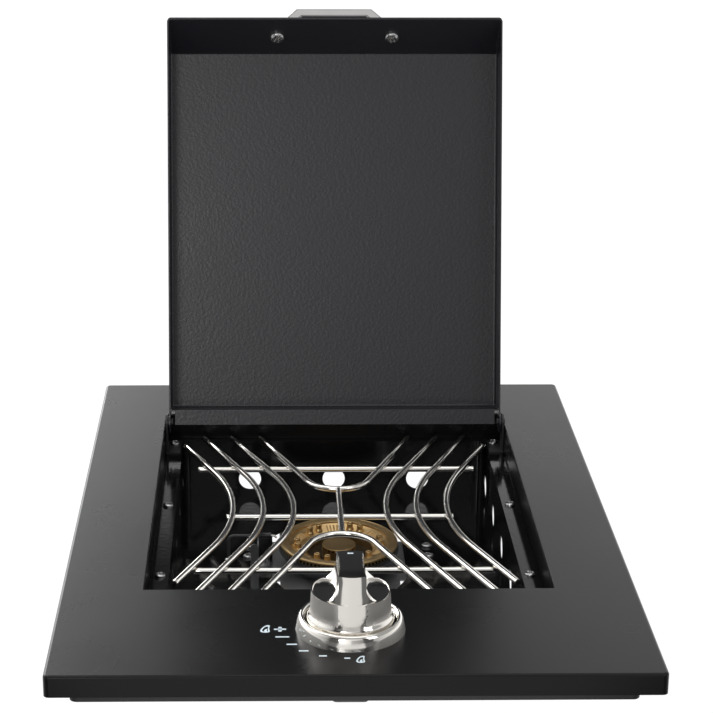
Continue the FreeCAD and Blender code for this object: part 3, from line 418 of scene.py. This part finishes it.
plainLooks = {
    "rubber": {"dark": (0.015, 0.015, 0.016), "light": (0.03, 0.03, 0.03), "roughness": (0.6, 0.8),
               "smudge": 300.0, "grain": 2400.0, "bump": 0.1},
    "darkCeramic": {"dark": (0.010, 0.010, 0.011), "light": (0.020, 0.020, 0.022), "roughness": (0.08, 0.14),
                    "smudge": 150.0, "grain": 1200.0, "bump": 0.05},
    "leadSleeve": {"dark": (0.03, 0.03, 0.03), "light": (0.05, 0.05, 0.05), "roughness": (0.4, 0.5),
                   "smudge": 200.0, "grain": 1600.0, "bump": 0.1},
    "whiteInk": {"dark": (0.60, 0.72, 0.80), "light": (0.78, 0.86, 0.90), "roughness": (0.4, 0.55),
                 "smudge": 500.0, "grain": 4000.0, "bump": 0.1},
    "blackPaint": {"dark": (0.012, 0.012, 0.013), "light": (0.02, 0.02, 0.021), "roughness": (0.4, 0.5),
                   "smudge": 200.0, "grain": 1600.0, "bump": 0.1},
}
finish.update({name: grained(name, look, 1.0) for name, look in metalLooks.items()})
finish.update({name: grained(name, look, 0.0) for name, look in plainLooks.items()})

slotFinish = {
    "black_enamel": "deckEnamel", "black_frame": "blackPaint", "gloss_enamel": "boxEnamel", "lid_enamel": "lidEnamel",
    "plated_screw": "chrome", "zinc_steel": "zincSteel", "bracket_black": "blackPaint", "cast_alloy": "castAlloy",
    "shutter_steel": "zincSteel", "brass": "brass", "gas_pipe": "zincSteel", "insulator": "darkCeramic",
    "electrode_wire": "satinSteel", "lead_sleeve": "leadSleeve", "chrome": "chrome", "spindle_steel": "satinSteel",
    "spring_steel": "satinSteel", "wire_steel": "wireSteel", "handle_chrome": "handleChrome", "rubber": "rubber",
}
slotOf = {s["node"]: s["material_slot"] for s in frame["record"]["subparts"]}
blackenedNodes = ("hinge_pins", "hinge_washers")
for nodeName, node in frame["nodes"].items():
    node.data.materials.clear()
    look = "blackPaint" if nodeName in blackenedNodes else slotFinish[slotOf[nodeName]]
    node.data.materials.append(finish[look])
print("stage: finishes on the CAD nodes")


# New pieces: surfaces worked out as whole arrays

def gridFaces(rows, columns, wrapRows=False, wrapColumns=False):
    # corner numbers of the quads of a grid of rows x columns points
    i = np.arange(rows if wrapRows else rows - 1)[:, None]
    j = np.arange(columns if wrapColumns else columns - 1)[None, :]
    nextI = (i + 1) % rows
    nextJ = (j + 1) % columns
    corners = [i * columns + j + 0 * nextI, i * columns + nextJ, nextI * columns + nextJ, nextI * columns + j]
    return np.stack([np.broadcast_to(c, (len(i), j.shape[1])) for c in corners], -1).reshape(-1, 4)


def joined(parts):
    # several (points, faces) into one
    points, faces, count = [], [], 0
    for p, f in parts:
        points.append(p.reshape(-1, 3))
        faces.append(f + count)
        count += points[-1].shape[0]
    return np.vstack(points), np.vstack(faces)


def makePiece(name, points, faces, look, body, nodes=(), smooth=True, sharpAngle=35.0, fresh=True):
    # points in metres in the frame; equal corners are merged so that poles and seams close
    mesh = bpy.data.meshes.new(name)
    mesh.from_pydata(points.tolist(), [], faces.tolist())
    shell = bmesh.new()
    shell.from_mesh(mesh)
    bmesh.ops.remove_doubles(shell, verts=shell.verts, dist=1e-6)
    bmesh.ops.dissolve_degenerate(shell, edges=shell.edges, dist=1e-7)
    if fresh:
        bmesh.ops.recalc_face_normals(shell, faces=shell.faces)
    shell.to_mesh(mesh)
    shell.free()
    mesh.polygons.foreach_set("use_smooth", np.full(len(mesh.polygons), smooth))
    if smooth:
        mesh.set_sharp_from_angle(angle=math.radians(sharpAngle))
    mesh.materials.append(finish[look])
    piece = bpy.data.objects.new(name, mesh)
    bpy.context.scene.collection.objects.link(piece)
    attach(piece, body)
    if nodes:
        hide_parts(*nodes)
    return piece


def turned(profile, centre, steps):
    # a profile of (radius, height) carried round an upright axis, in millimetres from centre
    around = np.linspace(0, 2 * math.pi, steps, endpoint=False)
    r = np.array([q[0] for q in profile])[:, None]
    h = np.array([q[1] for q in profile])[:, None]
    x = r * np.cos(around)
    y = r * np.sin(around)
    z = h + 0 * around
    return np.stack([x, y, z], -1) + np.array(centre), gridFaces(len(profile), steps, wrapColumns=True)


def deckPiece(name, part, look, body, nodes=(), smooth=True):
    # part is (points, faces) in deck measures
    points, faces = part
    return makePiece(name, onDeckArray(points.reshape(-1, 3)), faces, look, body, nodes, smooth)


def faceMiddles(piece, x, y):
    # face centres in deck measures, from an upright axis at x, y
    middles = np.empty(len(piece.data.polygons) * 3)
    piece.data.polygons.foreach_get("center", middles)
    return (middles.reshape(-1, 3) / mm - np.array([x, y + deckFront, deckTop])).T


def secondFinish(piece, look, chosen):
    # the chosen faces take another finish
    piece.data.materials.append(finish[look])
    piece.data.polygons.foreach_set("material_index", chosen.astype(int))


def refined(name, node, look, body, sharpAngle=28.0, reshape=None):
    # smooth copy of a CAD node: its loose triangles are merged, and wide faces set the shading
    mesh = frame["nodes"][node].data
    points = np.empty(len(mesh.vertices) * 3)
    mesh.vertices.foreach_get("co", points)
    corners = np.empty(len(mesh.loops), int)
    mesh.loops.foreach_get("vertex_index", corners)
    points = points.reshape(-1, 3)
    if reshape:
        points = reshape(points)
    piece = makePiece(name, points, corners.reshape(-1, 3), look, body, [node], sharpAngle=sharpAngle,
                      fresh=False)
    even = piece.modifiers.new("evenShade", "WEIGHTED_NORMAL")
    even.keep_sharp = True
    return piece


# Smooth sheet metal, the knob, its spring and its bezel

knobForm = {
    "place": (-1.5, 68.5),
    "rim": 28.2,
    "bowlX": 17.4,
    "bowlHalf": (8.2, 18.0),
    "bowlDepth": 0.15,                      # share of the CAD bowl's depth that is kept
    "crown": (238.0, -12.0, 48.0),          # radius of the grip's top along its length, its highest place and height
    "wall": (25.6, 13.0, 28.0, 9.6),        # satin side wall: inner radius, from, to, and the polished half width
    "mark": (0.2, 18.3, 4.7, 3.1),          # white mark: place on the grip, width and length
    "markRise": (-0.15, 0.06),              # the mark's edge and its face, from the crown
    "bowlReach": 9.0,                       # points that are deeper than this below the rim stay
}


def shallowBowls(points):
    # heights inside the two ovals beside the grip are drawn up towards the rim
    x, y, z = (points / mm - np.array([knobForm["place"][0], knobForm["place"][1] + deckFront, deckTop])).T
    across, along = knobForm["bowlHalf"]
    inside = ((np.abs(x) - knobForm["bowlX"]) / across) ** 2 + (y / along) ** 2 < 1.02
    inside &= (z < knobForm["rim"]) & (z > knobForm["rim"] - knobForm["bowlReach"])
    lifted = knobForm["rim"] - (knobForm["rim"] - z) * knobForm["bowlDepth"]
    moved = points.copy()
    moved[inside, 2] = (lifted[inside] + deckTop) * mm
    return moved


sheetCopies = {
    "deck_top": ("deck_frame", "deckEnamel", "base"),
    "fire_box": ("burner_box", "boxEnamel", "base"),
    "lid_panel": ("lid_shell", "lidEnamel", "lid"),
    "handle_bow": ("lid_handle", "handleChrome", "lid"),
}
for name, (node, look, body) in sheetCopies.items():
    refined(name, node, look, body)
knobBody = refined("knob_body", "control_knob", "chrome", "knob", 32.0, shallowBowls)


def satinWall(piece, form):
    # the faces of the upright round wall take the satin finish
    x, y, z = faceMiddles(piece, *form["place"])
    inner, low, high, polished = form["wall"]
    wall = (np.hypot(x, y) > inner) & (z > low) & (z < high) & (np.abs(x) > polished)
    secondFinish(piece, "turnedSteel", wall)


def pointerMark(form):
    # thin tile that follows the grip's crown; its edges reach just below the surface
    x0, y0, wide, long = form["mark"]
    radius, top, height = form["crown"]
    u = np.linspace(-1, 1, 9)[None, :]
    v = np.linspace(-1, 1, 9)[:, None]
    edge = np.maximum(np.abs(u), np.abs(v)) > 0.99
    x = x0 + wide / 2 * u + 0 * v
    y = y0 + long / 2 * v + 0 * u
    z = height - (y - top) ** 2 / (2 * radius) + np.where(edge, *form["markRise"])
    return np.stack([x, y, z], -1) + np.array([*form["place"], 0.0]), gridFaces(9, 9)


satinWall(knobBody, knobForm)
deckPiece("pointer_mark", pointerMark(knobForm), "whiteInk", "knob")

spring = refined("coil_spring", "knob_spring", "satinSteel", "base")
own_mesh(spring)

bezelForm = {
    "profile": ((30.2, 0), (36.8, 0), (36.72, 0.5), (35.65, 5.8), (35.2, 7.5), (34.5, 9.0), (33.6, 9.8), (32.7, 10.0),
                (31.9, 9.7), (31.4, 9.0), (31.0, 7.9), (30.6, 7.4), (30.2, 7.2)),
    "steps": 160,
}
bezel = turned(bezelForm["profile"], (*knobForm["place"], 0.0), bezelForm["steps"])
deckPiece("bezel_ring", bezel, "chrome", "base", ["knob_bezel"])
print("stage: smooth sheet metal and knob")


# Pan head screws with a cross recess

screwShape = {
    "rings": 26,
    "steps": 72,
    "domeShare": 0.62,      # the dome's height as a share of the head's radius
    "wall": 0.28,           # height of the straight edge, as a share of the head's radius
    "recessReach": 0.60,    # how far the cross reaches, as a share of the radius
    "recessHalf": 0.13,
    "recessSoft": (1.25, 0.35, 0.07),    # flank's start and width as shares of the half width, and its soft end
    "recessDepth": 0.42,
}


def crossHead(radius, shape):
    # the dome's height is the root of one minus a power of the distance
    # the cross sinks where either coordinate is small
    t = np.linspace(0, 1, shape["rings"])[:, None]
    around = np.linspace(0, 2 * math.pi, shape["steps"], endpoint=False)[None, :]
    x = t * np.cos(around)
    y = t * np.sin(around)
    dome = shape["wall"] + (shape["domeShare"] - shape["wall"]) * np.sqrt(np.clip(1 - t ** 2.6, 0, 1)) + 0 * around
    near = np.minimum(np.abs(x), np.abs(y))
    reach = np.hypot(x, y)
    start, flank, soft = shape["recessSoft"]
    arm = np.clip((shape["recessHalf"] * start - near) / (shape["recessHalf"] * flank), 0, 1)
    within = np.clip((shape["recessReach"] - reach) / soft, 0, 1)
    z = dome - shape["recessDepth"] * arm * within * (1 - 0.35 * reach)
    top = np.stack([x, y, z], -1) * radius
    foot = np.stack([np.cos(around[0]), np.sin(around[0]), 0 * around[0]], -1)[None] * radius
    under = foot * np.array([0.3, 0.3, 1.0])
    points = np.concatenate([top, foot, under], 0)
    return points.reshape(-1, 3), gridFaces(points.shape[0], shape["steps"], wrapColumns=True)


def screwBody(radius, shank, headRadius):
    # head and plain shank, its seat at zero and its axis up
    profile = [(0, -shank), (radius * 0.8, -shank), (radius, -shank + radius * 0.4), (radius, 0.2), (0, 0.2)]
    return joined([crossHead(headRadius, screwShape), turned(profile, (0, 0, 0), 24)])


def placed(part, centre, axis=(0, 0, 1), spin=0.0):
    # turn a part's own up onto axis, spin it round that, and put it at centre
    up = Vector(axis).normalized()
    turn = Vector((0, 0, 1)).rotation_difference(up).to_matrix() @ Matrix.Rotation(math.radians(spin), 3, "Z")
    return part[0] @ np.array(turn).T + np.array(centre), part[1]


ledgeScrews = {
    "x": 135.3,
    "y": (200.5, 333.5, 466.5),
    "ledge": -22.2,
    "bracket": 1.5,         # the rear screws sit on the hinge brackets' feet
    "tip": -29.5,
    "shank": 2.0,
    "head": 4.0,
    "spins": ((20, 65, 40), (75, 10, 50)),
}


def ledgeRow(values, side, spins):
    seats = (values["ledge"], values["ledge"], values["ledge"] + values["bracket"])
    return [placed(screwBody(values["shank"], seat - values["tip"], values["head"]), (side * values["x"], y, seat),
                   spin=spin) for y, seat, spin in zip(values["y"], seats, spins)]


ledgeRows = [joined(ledgeRow(ledgeScrews, side, spins)) for side, spins in zip((-1, 1), ledgeScrews["spins"])]
deckPiece("ledge_screws", joined(ledgeRows), "screwSteel", "base", ["box_screws"])
print("stage: ledge screws")


# Lid, handle and carrier screws

lidPlace = {"lean": 14.3, "heel": (484.7, 6.5), "length": 299.0, "flange": 30.0, "slopeRun": 26.4}
handleBolts = {"x": 48.0, "shank": 2.0, "length": 8.0, "head": 6.0, "spins": (28, 62)}


def turnX(points, degrees):
    a = math.radians(degrees)
    turn = np.array([[1, 0, 0], [0, math.cos(a), -math.sin(a)], [0, math.sin(a), math.cos(a)]])
    return points @ turn.T


def onLid(points):
    # x, up the panel, out of the panel: to deck measures, at the lid's open place
    return turnX(points, 90 - lidPlace["lean"]) + np.array([0, *lidPlace["heel"]])


def onLidSlope(points):
    # from the middle of the sloped front flange's inner face, Z outward, to deck measures
    steep = math.degrees(math.atan2(lidPlace["flange"], lidPlace["slopeRun"]))
    middle = np.array([0, lidPlace["length"] + lidPlace["slopeRun"] / 2, lidPlace["flange"] / 2])
    return onLid(turnX(points, steep - 180) + middle)


bolt = screwBody(handleBolts["shank"], handleBolts["length"], handleBolts["head"])
points, faces = joined([placed(bolt, (side * handleBolts["x"], 0, 0), (0, 0, -1), spin)
                        for side, spin in zip((-1, 1), handleBolts["spins"])])
deckPiece("handle_bolts", (onLidSlope(points), faces), "screwSteel", "lid", ["handle_screws"])

carrierScrews = {"x": 72.5, "y": (346.0, 366.0), "floor": -72.0, "shank": 2.0, "length": 7.0, "head": 4.0,
                 "spins": (15, 48, 70, 33)}
carrierPlaces = [(side * carrierScrews["x"], y, carrierScrews["floor"])
                 for side in (-1, 1) for y in carrierScrews["y"]]
screw = screwBody(carrierScrews["shank"], carrierScrews["length"], carrierScrews["head"])
carrierParts = [placed(screw, place, spin=spin) for place, spin in zip(carrierPlaces, carrierScrews["spins"])]
deckPiece("floor_screws", joined(carrierParts), "screwSteel", "base", ["carrier_screws"])
print("stage: screws")


# Printed scale beside the knob

scalePrint = {
    "ticks": ((-45.5, -13.2, 9.2), (-39.4, -24.2, 7.0), (-31.8, -33.7, 6.3), (-19.4, -41.1, 5.2), (-3.7, -44.5, 3.9)),
    "tickWide": 1.7,
    "plus": (-47.0, -1.8, 8.2),
    "plusWide": 2.3,
    "flames": ((-56.7, -1.2, 1.0), (5.0, -46.2, 0.9)),
    "flameWide": 7.6,
    "flameLong": 11.2,
    "hollow": (0.62, 0.70),         # width and length of a flame's hollow and of its core, as shares of the flame's
    "core": (0.34, 0.36),
    "ink": 0.06,
}


def slab(outline, thick):
    # flat shape from a closed outline (n, 2): middle, edge below, edge above, middle, so that it closes
    middle = outline.mean(0)
    rows = [np.column_stack([np.tile(middle, (len(outline), 1)), np.zeros(len(outline))]),
            np.column_stack([outline, np.zeros(len(outline))]),
            np.column_stack([outline, np.full(len(outline), thick)]),
            np.column_stack([np.tile(middle, (len(outline), 1)), np.full(len(outline), thick)])]
    return np.vstack(rows), gridFaces(4, len(outline), wrapColumns=True)


def band(outer, inner, thick):
    # flat ring between two outlines with equal counts
    low, high = np.zeros(len(outer)), np.full(len(outer), thick)
    rows = [np.column_stack([outer, low]), np.column_stack([outer, high]),
            np.column_stack([inner, high]), np.column_stack([inner, low])]
    return np.vstack(rows), gridFaces(4, len(outer), wrapRows=True, wrapColumns=True)


def roundBar(x, y, long, wide, steps=24):
    # superellipse: a bar with slightly rounded corners
    t = np.linspace(0, 2 * math.pi, steps, endpoint=False) + 0.01
    power = 0.18
    return np.column_stack([x + long / 2 * np.sign(np.cos(t)) * np.abs(np.cos(t)) ** power,
                            y + wide / 2 * np.sign(np.sin(t)) * np.abs(np.sin(t)) ** power])


def flameOutline(x, y, wide, long, steps=60):
    # drop whose half width is sin(t) times a taper towards the tip, its tip bent to one side
    t = np.linspace(0, 2 * math.pi, steps, endpoint=False)
    rise = (1 - np.cos(t)) / 2
    half = np.sin(t) * (1.12 - 0.62 * rise) + 0.10 * np.sin(3 * t)
    lean = 0.30 * rise ** 2 - 0.10 * np.sin(rise * math.pi)
    return np.column_stack([x + wide * (half / 2 + lean * 0.8), y + long * (rise - 0.5)])


def printScale(values):
    parts = [slab(roundBar(x, y, long, values["tickWide"]), values["ink"]) for x, y, long in values["ticks"]]
    x, y, reach = values["plus"]
    parts.append(slab(roundBar(x, y, reach, values["plusWide"] * 0.8), values["ink"]))
    parts.append(slab(roundBar(x, y, values["plusWide"], reach * 0.86), values["ink"]))
    for x, y, size in values["flames"]:
        wide, long = values["flameWide"] * size, values["flameLong"] * size
        outer = flameOutline(x, y, wide, long)
        inner = flameOutline(x, y - 0.03 * long, wide * values["hollow"][0], long * values["hollow"][1])
        parts.append(band(outer, inner, values["ink"]))
        core = flameOutline(x + 0.02 * wide, y - 0.20 * long, wide * values["core"][0], long * values["core"][1])
        parts.append(slab(core, values["ink"]))
    return joined(parts)


points, faces = printScale(scalePrint)
deckPiece("scale_print", (points + np.array([*knobForm["place"], 0.0]), faces), "whiteInk", "base",
          smooth=False)
print("stage: printed scale")


# Brass flame ring, its posts and its cap

burnerShape = {
    "y": 338.0,
    "bore": 27.0,
    "ledge": (24.6, -68.2, -69.4),          # inner radius, top and underside
    "dish": (39.5, -56.6, -60.4),           # outer radius, height there and at the bore
    "top": -54.4,
    "rim": 47.0,
    "band": (45.4, 43.0, -59.0),            # outer radius, radius of its seat on the bowl, underside
    "toothDepth": 2.3,
    "teeth": 84,
    "stepsPerTooth": 10,
    "ribAngles": (35, 95, 155, 215, 275, 335),
    "ribSpread": (-9.0, -4.5, 0.0, 4.5, 9.0),
    "rib": (30.0, 37.6, 0.7, 0.9),          # inner and outer radius, half width, height
    "postCircle": 33.4,
    "postBase": -59.7,
    "post": ((0, 0), (3.2, 0), (3.2, 1.5), (2.95, 2.1), (2.6, 2.8), (2.45, 3.6), (2.45, 6.1), (2.36, 6.5), (2.1, 6.7),
             (1.6, 6.68), (1.32, 6.45), (1.2, 6.0), (1.2, 3.5), (0.0, 3.3)),
    "pairTurn": 5.0,
    "pairSpread": 7.6,
    "capWall": 13.4,
    "capTop": -57.3,
    "capFlange": 26.7,
    "capFlangeTop": -67.0,
    "capPortDrop": 1.9,
    "capPortSize": 0.75,
    "capPorts": 24,
    "slotPaintedShade": (42.6, 44.5, -59.05, -56.9),      # painted shade in the teeth's slots: from and to radius, from and to height
    # painted shade inside the cap's port dents: the same four numbers
    "portPaintedShade": (0.0, 13.1, -60.15, -58.3),
}


def dishHeight(shape, r):
    outer, high, low = shape["dish"]
    return low + (r - shape["bore"]) / (outer - shape["bore"]) * (high - low)


def flameRing(shape):
    # turned ring with a dish; its port band steps in and out with the angle, square teeth with soft flanks
    steps = shape["teeth"] * shape["stepsPerTooth"]
    around = np.linspace(0, 2 * math.pi, steps, endpoint=False)
    wave = np.cos(shape["teeth"] * around)
    slot = np.clip(wave * 2.6 + 0.6, 0, 1) * shape["toothDepth"]
    top, rim, bore = shape["top"], shape["rim"], shape["bore"]
    ledge, ledgeTop, ledgeLow = shape["ledge"]
    dish, dishTop, dishLow = shape["dish"]
    wall, seat, low = shape["band"]
    profile = [(ledge, ledgeLow, 0), (ledge, ledgeTop, 0), (bore, ledgeTop, 0), (bore, dishLow - 0.3, 0),
               (bore + 0.4, dishLow, 0), (dish - 0.7, dishTop - 0.1, 0), (dish - 0.1, dishTop + 0.3, 0),
               (dish, dishTop + 1.6, 0), (dish + 0.2, top - 0.2, 0), (dish + 0.7, top, 0), (rim - 1.6, top, 0),
               (rim - 1.3, top - 0.25, 0), (rim - 1.0, top, 0), (rim - 0.4, top - 0.1, 0), (rim - 0.1, top - 0.4, 0),
               (rim, top - 0.8, 0), (rim, top - 1.7, 0), (rim - 0.3, top - 1.95, 0), (wall, top - 2.1, 0),
               (wall, top - 2.3, 0), (wall, top - 2.5, 1), (wall, low, 1), (seat - 0.4, low, 0),
               (dish, dishTop - 3, 0), (bore + 2, dishLow - 3, 0), (bore + 2, ledgeLow, 0)]
    r = np.array([q[0] for q in profile])[:, None] - np.array([q[2] for q in profile])[:, None] * slot
    z = np.array([q[1] for q in profile])[:, None] + 0 * around
    points = np.stack([r * np.cos(around), r * np.sin(around) + shape["y"], z], -1)
    return points, gridFaces(len(profile), steps, wrapRows=True, wrapColumns=True)


def rib(shape, degrees):
    # low rounded bar that lies along a radius of the dish
    inner, outer, half, high = shape["rib"]
    along = np.linspace(0, 1, 12)[:, None]
    across = np.linspace(0, math.pi, 9)[None, :]
    taper = np.sqrt(np.clip(1 - (2 * along - 1) ** 8, 0, 1))
    r = inner + (outer - inner) * along + 0 * across
    side = half * np.cos(across) * taper
    z = dishHeight(shape, r) - 0.2 + (high + 0.2) * np.sin(across) ** 0.7 * taper
    a = math.radians(degrees)
    x = r * math.cos(a) - side * math.sin(a)
    y = r * math.sin(a) + side * math.cos(a) + shape["y"]
    return np.stack([x, y, z], -1), gridFaces(12, 9)


def flamePost(shape, x, y):
    # drilled post: flared foot, straight wall, rounded lip and a blind hole
    return turned(shape["post"], (x, y, shape["postBase"]), 40)


def flameCap(shape):
    # round cap on a plain wall; a ring of dimples for the small ports
    steps = shape["capPorts"] * 16
    around = np.linspace(0, 2 * math.pi, steps, endpoint=False)
    top, wall, size = shape["capTop"], shape["capWall"], shape["capPortSize"]
    row = top - shape["capPortDrop"]
    portRow = [(wall, row + (size + 0.1) * q, q) for q in np.linspace(1, -1, 13)]
    profile = [(wall * q, top - 0.25 * (1 - q ** 2), None) for q in np.linspace(0, 0.9, 8)] + [
        (wall - 0.6, top, None), (wall - 0.2, top - 0.1, None), (wall, top - 0.4, None), (wall, top - 0.8, None),
        *portRow, (wall, row - 1.2, None), (wall, shape["capFlangeTop"], None)]
    turn = (around * shape["capPorts"] / (2 * math.pi)) % 1 - 0.5
    sideways = turn * 2 * math.pi * wall / shape["capPorts"] / (size + 0.1)
    rows = []
    for r, z, q in profile:
        dent = 0 * around if q is None else 1.8 * np.clip((1 - sideways ** 2 - q ** 2) * 5, 0, 1)
        x, y = (r - dent) * np.cos(around), (r - dent) * np.sin(around) + shape["y"]
        rows.append(np.stack([x, y, z + 0 * around], -1))
    return np.stack(rows), gridFaces(len(profile), steps, wrapColumns=True)


def paintedShadeFaces(piece, near, far, low, high):
    # faces between two distances from the burner's axis and two heights take the darkened brass, painted shade
    x, y, z = faceMiddles(piece, 0.0, burnerShape["y"])
    reach = np.hypot(x, y)
    secondFinish(piece, "paintedShadeBrass", (reach > near) & (reach < far) & (z > low) & (z < high))


ringParts = [flameRing(burnerShape)]
ringParts += [rib(burnerShape, a + d) for a in burnerShape["ribAngles"] for d in burnerShape["ribSpread"]]
ring = deckPiece("flame_ring", joined(ringParts), "brass", "burner_head", ["burner_ring"])
paintedShadeFaces(ring, *burnerShape["slotPaintedShade"])

postAngles = [math.radians(burnerShape["pairTurn"] + 60 * k + d * burnerShape["pairSpread"])
              for k in range(6) for d in (-1, 1)]
posts = joined([flamePost(burnerShape, burnerShape["postCircle"] * math.cos(a),
                          burnerShape["y"] + burnerShape["postCircle"] * math.sin(a)) for a in postAngles])
deckPiece("flame_posts", posts, "brass", "burner_head", ["burner_nozzles"])

cap = deckPiece("flame_cap", flameCap(burnerShape), "brass", "burner_head", ["burner_cap"])
paintedShadeFaces(cap, *burnerShape["portPaintedShade"])
# the flange under the cap takes the darkened brass: painted shade for the deep gap round the cap
flangeProfile = [(burnerShape["capWall"] - 2.4, burnerShape["ledge"][1]),
                 (burnerShape["capFlange"], burnerShape["ledge"][1]),
                 (burnerShape["capFlange"], burnerShape["capFlangeTop"] - 0.3),
                 (burnerShape["capFlange"] - 0.3, burnerShape["capFlangeTop"]),
                 (burnerShape["capWall"] - 0.02, burnerShape["capFlangeTop"])]
deckPiece("cap_flange", turned(flangeProfile, (0, burnerShape["y"], 0), 96), "paintedShadeBrass", "burner_head")
print("stage: burner head")


# Pan grate

grateShape = {
    "wire": 2.4,
    "z": -19.5,
    "rodDrop": 4.8,
    "near": (36.4, 60.2, 84.0),         # x of the three side wires at their waist, and at their rear and front ends
    "rear": (87.6, 110.8, 134.0),
    "front": (97.4, 120.6, 143.8),
    "rearEnd": 476.0,
    "frontEnd": 134.0,
    "rearSlope": 0.43,
    "frontSlope": 0.41,
    "outerStops": (457.5, 182.0),       # the outermost wire ends sooner, behind and in front
    "bend": 26.0,
    "vee": (63.4, 476.0, 360.7),        # end x, end y and tip y
    "arch": (73.9, 134.0, 270.8),
    "rods": ((416.0, 114.0), (315.0, 88.7), (214.0, 110.5)),        # y and half length
}


def arcBetween(centre, radius, start, end, count):
    a = np.linspace(start, end, count)
    return np.stack([centre[0] + radius * np.cos(a), centre[1] + radius * np.sin(a)], -1)


def between(a, b, count):
    # evenly spaced points from a to b
    t = np.linspace(0, 1, count)[:, None]
    return a * (1 - t) + b * t


def sideRoute(shape, k):
    # straight rear end, one wide arc tangent to both ends, straight front end
    near, rear, front = shape["near"][k], shape["rear"][k], shape["front"][k]
    mr, mf = shape["rearSlope"], shape["frontSlope"]
    nr, nf = math.hypot(1, mr), math.hypot(1, mf)
    a = near + mr * shape["rearEnd"] - rear
    b = near - mf * shape["frontEnd"] - front
    bend = (mf * a + mr * b) / (mf * (nr - 1) + mr * (nf - 1))
    middle = (a - (nr - 1) * bend) / mr
    yBack, yFront = shape["outerStops"] if k == 2 else (shape["rearEnd"], shape["frontEnd"])
    centre = (near + bend, middle)
    startAngle = math.pi - math.atan(mr)
    endAngle = math.pi + math.atan(mf)
    curve = arcBetween(centre, bend, startAngle, endAngle, 90)
    head = np.array([[rear + mr * (yBack - shape["rearEnd"]), yBack]])
    tail = np.array([[front - mf * (yFront - shape["frontEnd"]), yFront]])
    return np.vstack([between(head[0], curve[0], 14), curve, between(curve[-1], tail[0], 14)])


def bentRoute(shape, endX, endY, tipY):
    # two straight legs that meet in one bend
    way = 1 if endY > tipY else -1
    radius = shape["bend"]
    centreY = tipY + way * radius
    reach = math.hypot(endX, endY - centreY)
    angle = math.atan2(abs(endY - centreY), endX) - math.acos(radius / reach)
    sweep = np.linspace(math.pi - angle, 2 * math.pi + angle, 60)
    curve = np.stack([radius * np.cos(sweep), centreY + way * radius * np.sin(sweep)], -1)
    return np.vstack([between(np.array([-endX, endY]), curve[0], 20), curve,
                      between(curve[-1], np.array([endX, endY]), 20)])


def wireAlong(route, z, radius, steps=28):
    # circle carried along a flat route; both ends are cut square with a small round edge
    keep = np.append(True, np.hypot(*np.diff(route, axis=0).T) > 1e-6)
    route = route[keep]
    run = np.gradient(route, axis=0)
    run /= np.hypot(run[:, 0], run[:, 1])[:, None]
    ends = [(0.0, 0.0), (0.82, 0.0), (0.95, 0.12), (1.0, 0.4)]
    first = np.array([route[0] + run[0] * s for _, s in ends])
    last = np.array([route[-1] - run[-1] * s for _, s in reversed(ends)])
    path = np.vstack([first, route[1:-1], last])
    heading = np.vstack([np.tile(run[0], (4, 1)), run[1:-1], np.tile(run[-1], (4, 1))])
    tips = [q for q, _ in ends]
    size = np.concatenate([tips, np.ones(len(route) - 2), tips[::-1]]) * radius
    around = np.linspace(0, 2 * math.pi, steps, endpoint=False)
    side = np.stack([-heading[:, 1], heading[:, 0]], -1)
    flat = path[:, None, :] + side[:, None, :] * (size[:, None] * np.cos(around))[:, :, None]
    high = z + size[:, None] * np.sin(around)
    return np.concatenate([flat, high[:, :, None]], -1), gridFaces(len(path), steps, wrapColumns=True)


def gratePiece(name, routes, z, node):
    wires = [wireAlong(route, z, grateShape["wire"]) for route in routes]
    deckPiece(name, joined(wires), "wireSteel", "grate", [node])


wireHeight = grateShape["z"]
rightRoutes = [sideRoute(grateShape, k) for k in range(3)]
leftRoutes = [route * np.array([-1, 1]) for route in rightRoutes]
gratePiece("left_wires", leftRoutes, wireHeight, "grate_left_wires")
gratePiece("right_wires", rightRoutes, wireHeight, "grate_right_wires")
gratePiece("vee_wire", [bentRoute(grateShape, *grateShape["vee"])], wireHeight, "grate_vee_wire")
gratePiece("arch_wire", [bentRoute(grateShape, *grateShape["arch"])], wireHeight, "grate_arch_wire")
barEnds = np.array([[0.0, grateShape["arch"][2]], [0.0, grateShape["vee"][2]]])
gratePiece("centre_bar", [between(*barEnds, 30)], wireHeight, "grate_centre_bar")
rodRoutes = [between(np.array([-half, y]), np.array([half, y]), 40) for y, half in grateShape["rods"]]
gratePiece("cross_rods", rodRoutes, wireHeight - grateShape["rodDrop"], "grate_cross_rods")
print("stage: grate")
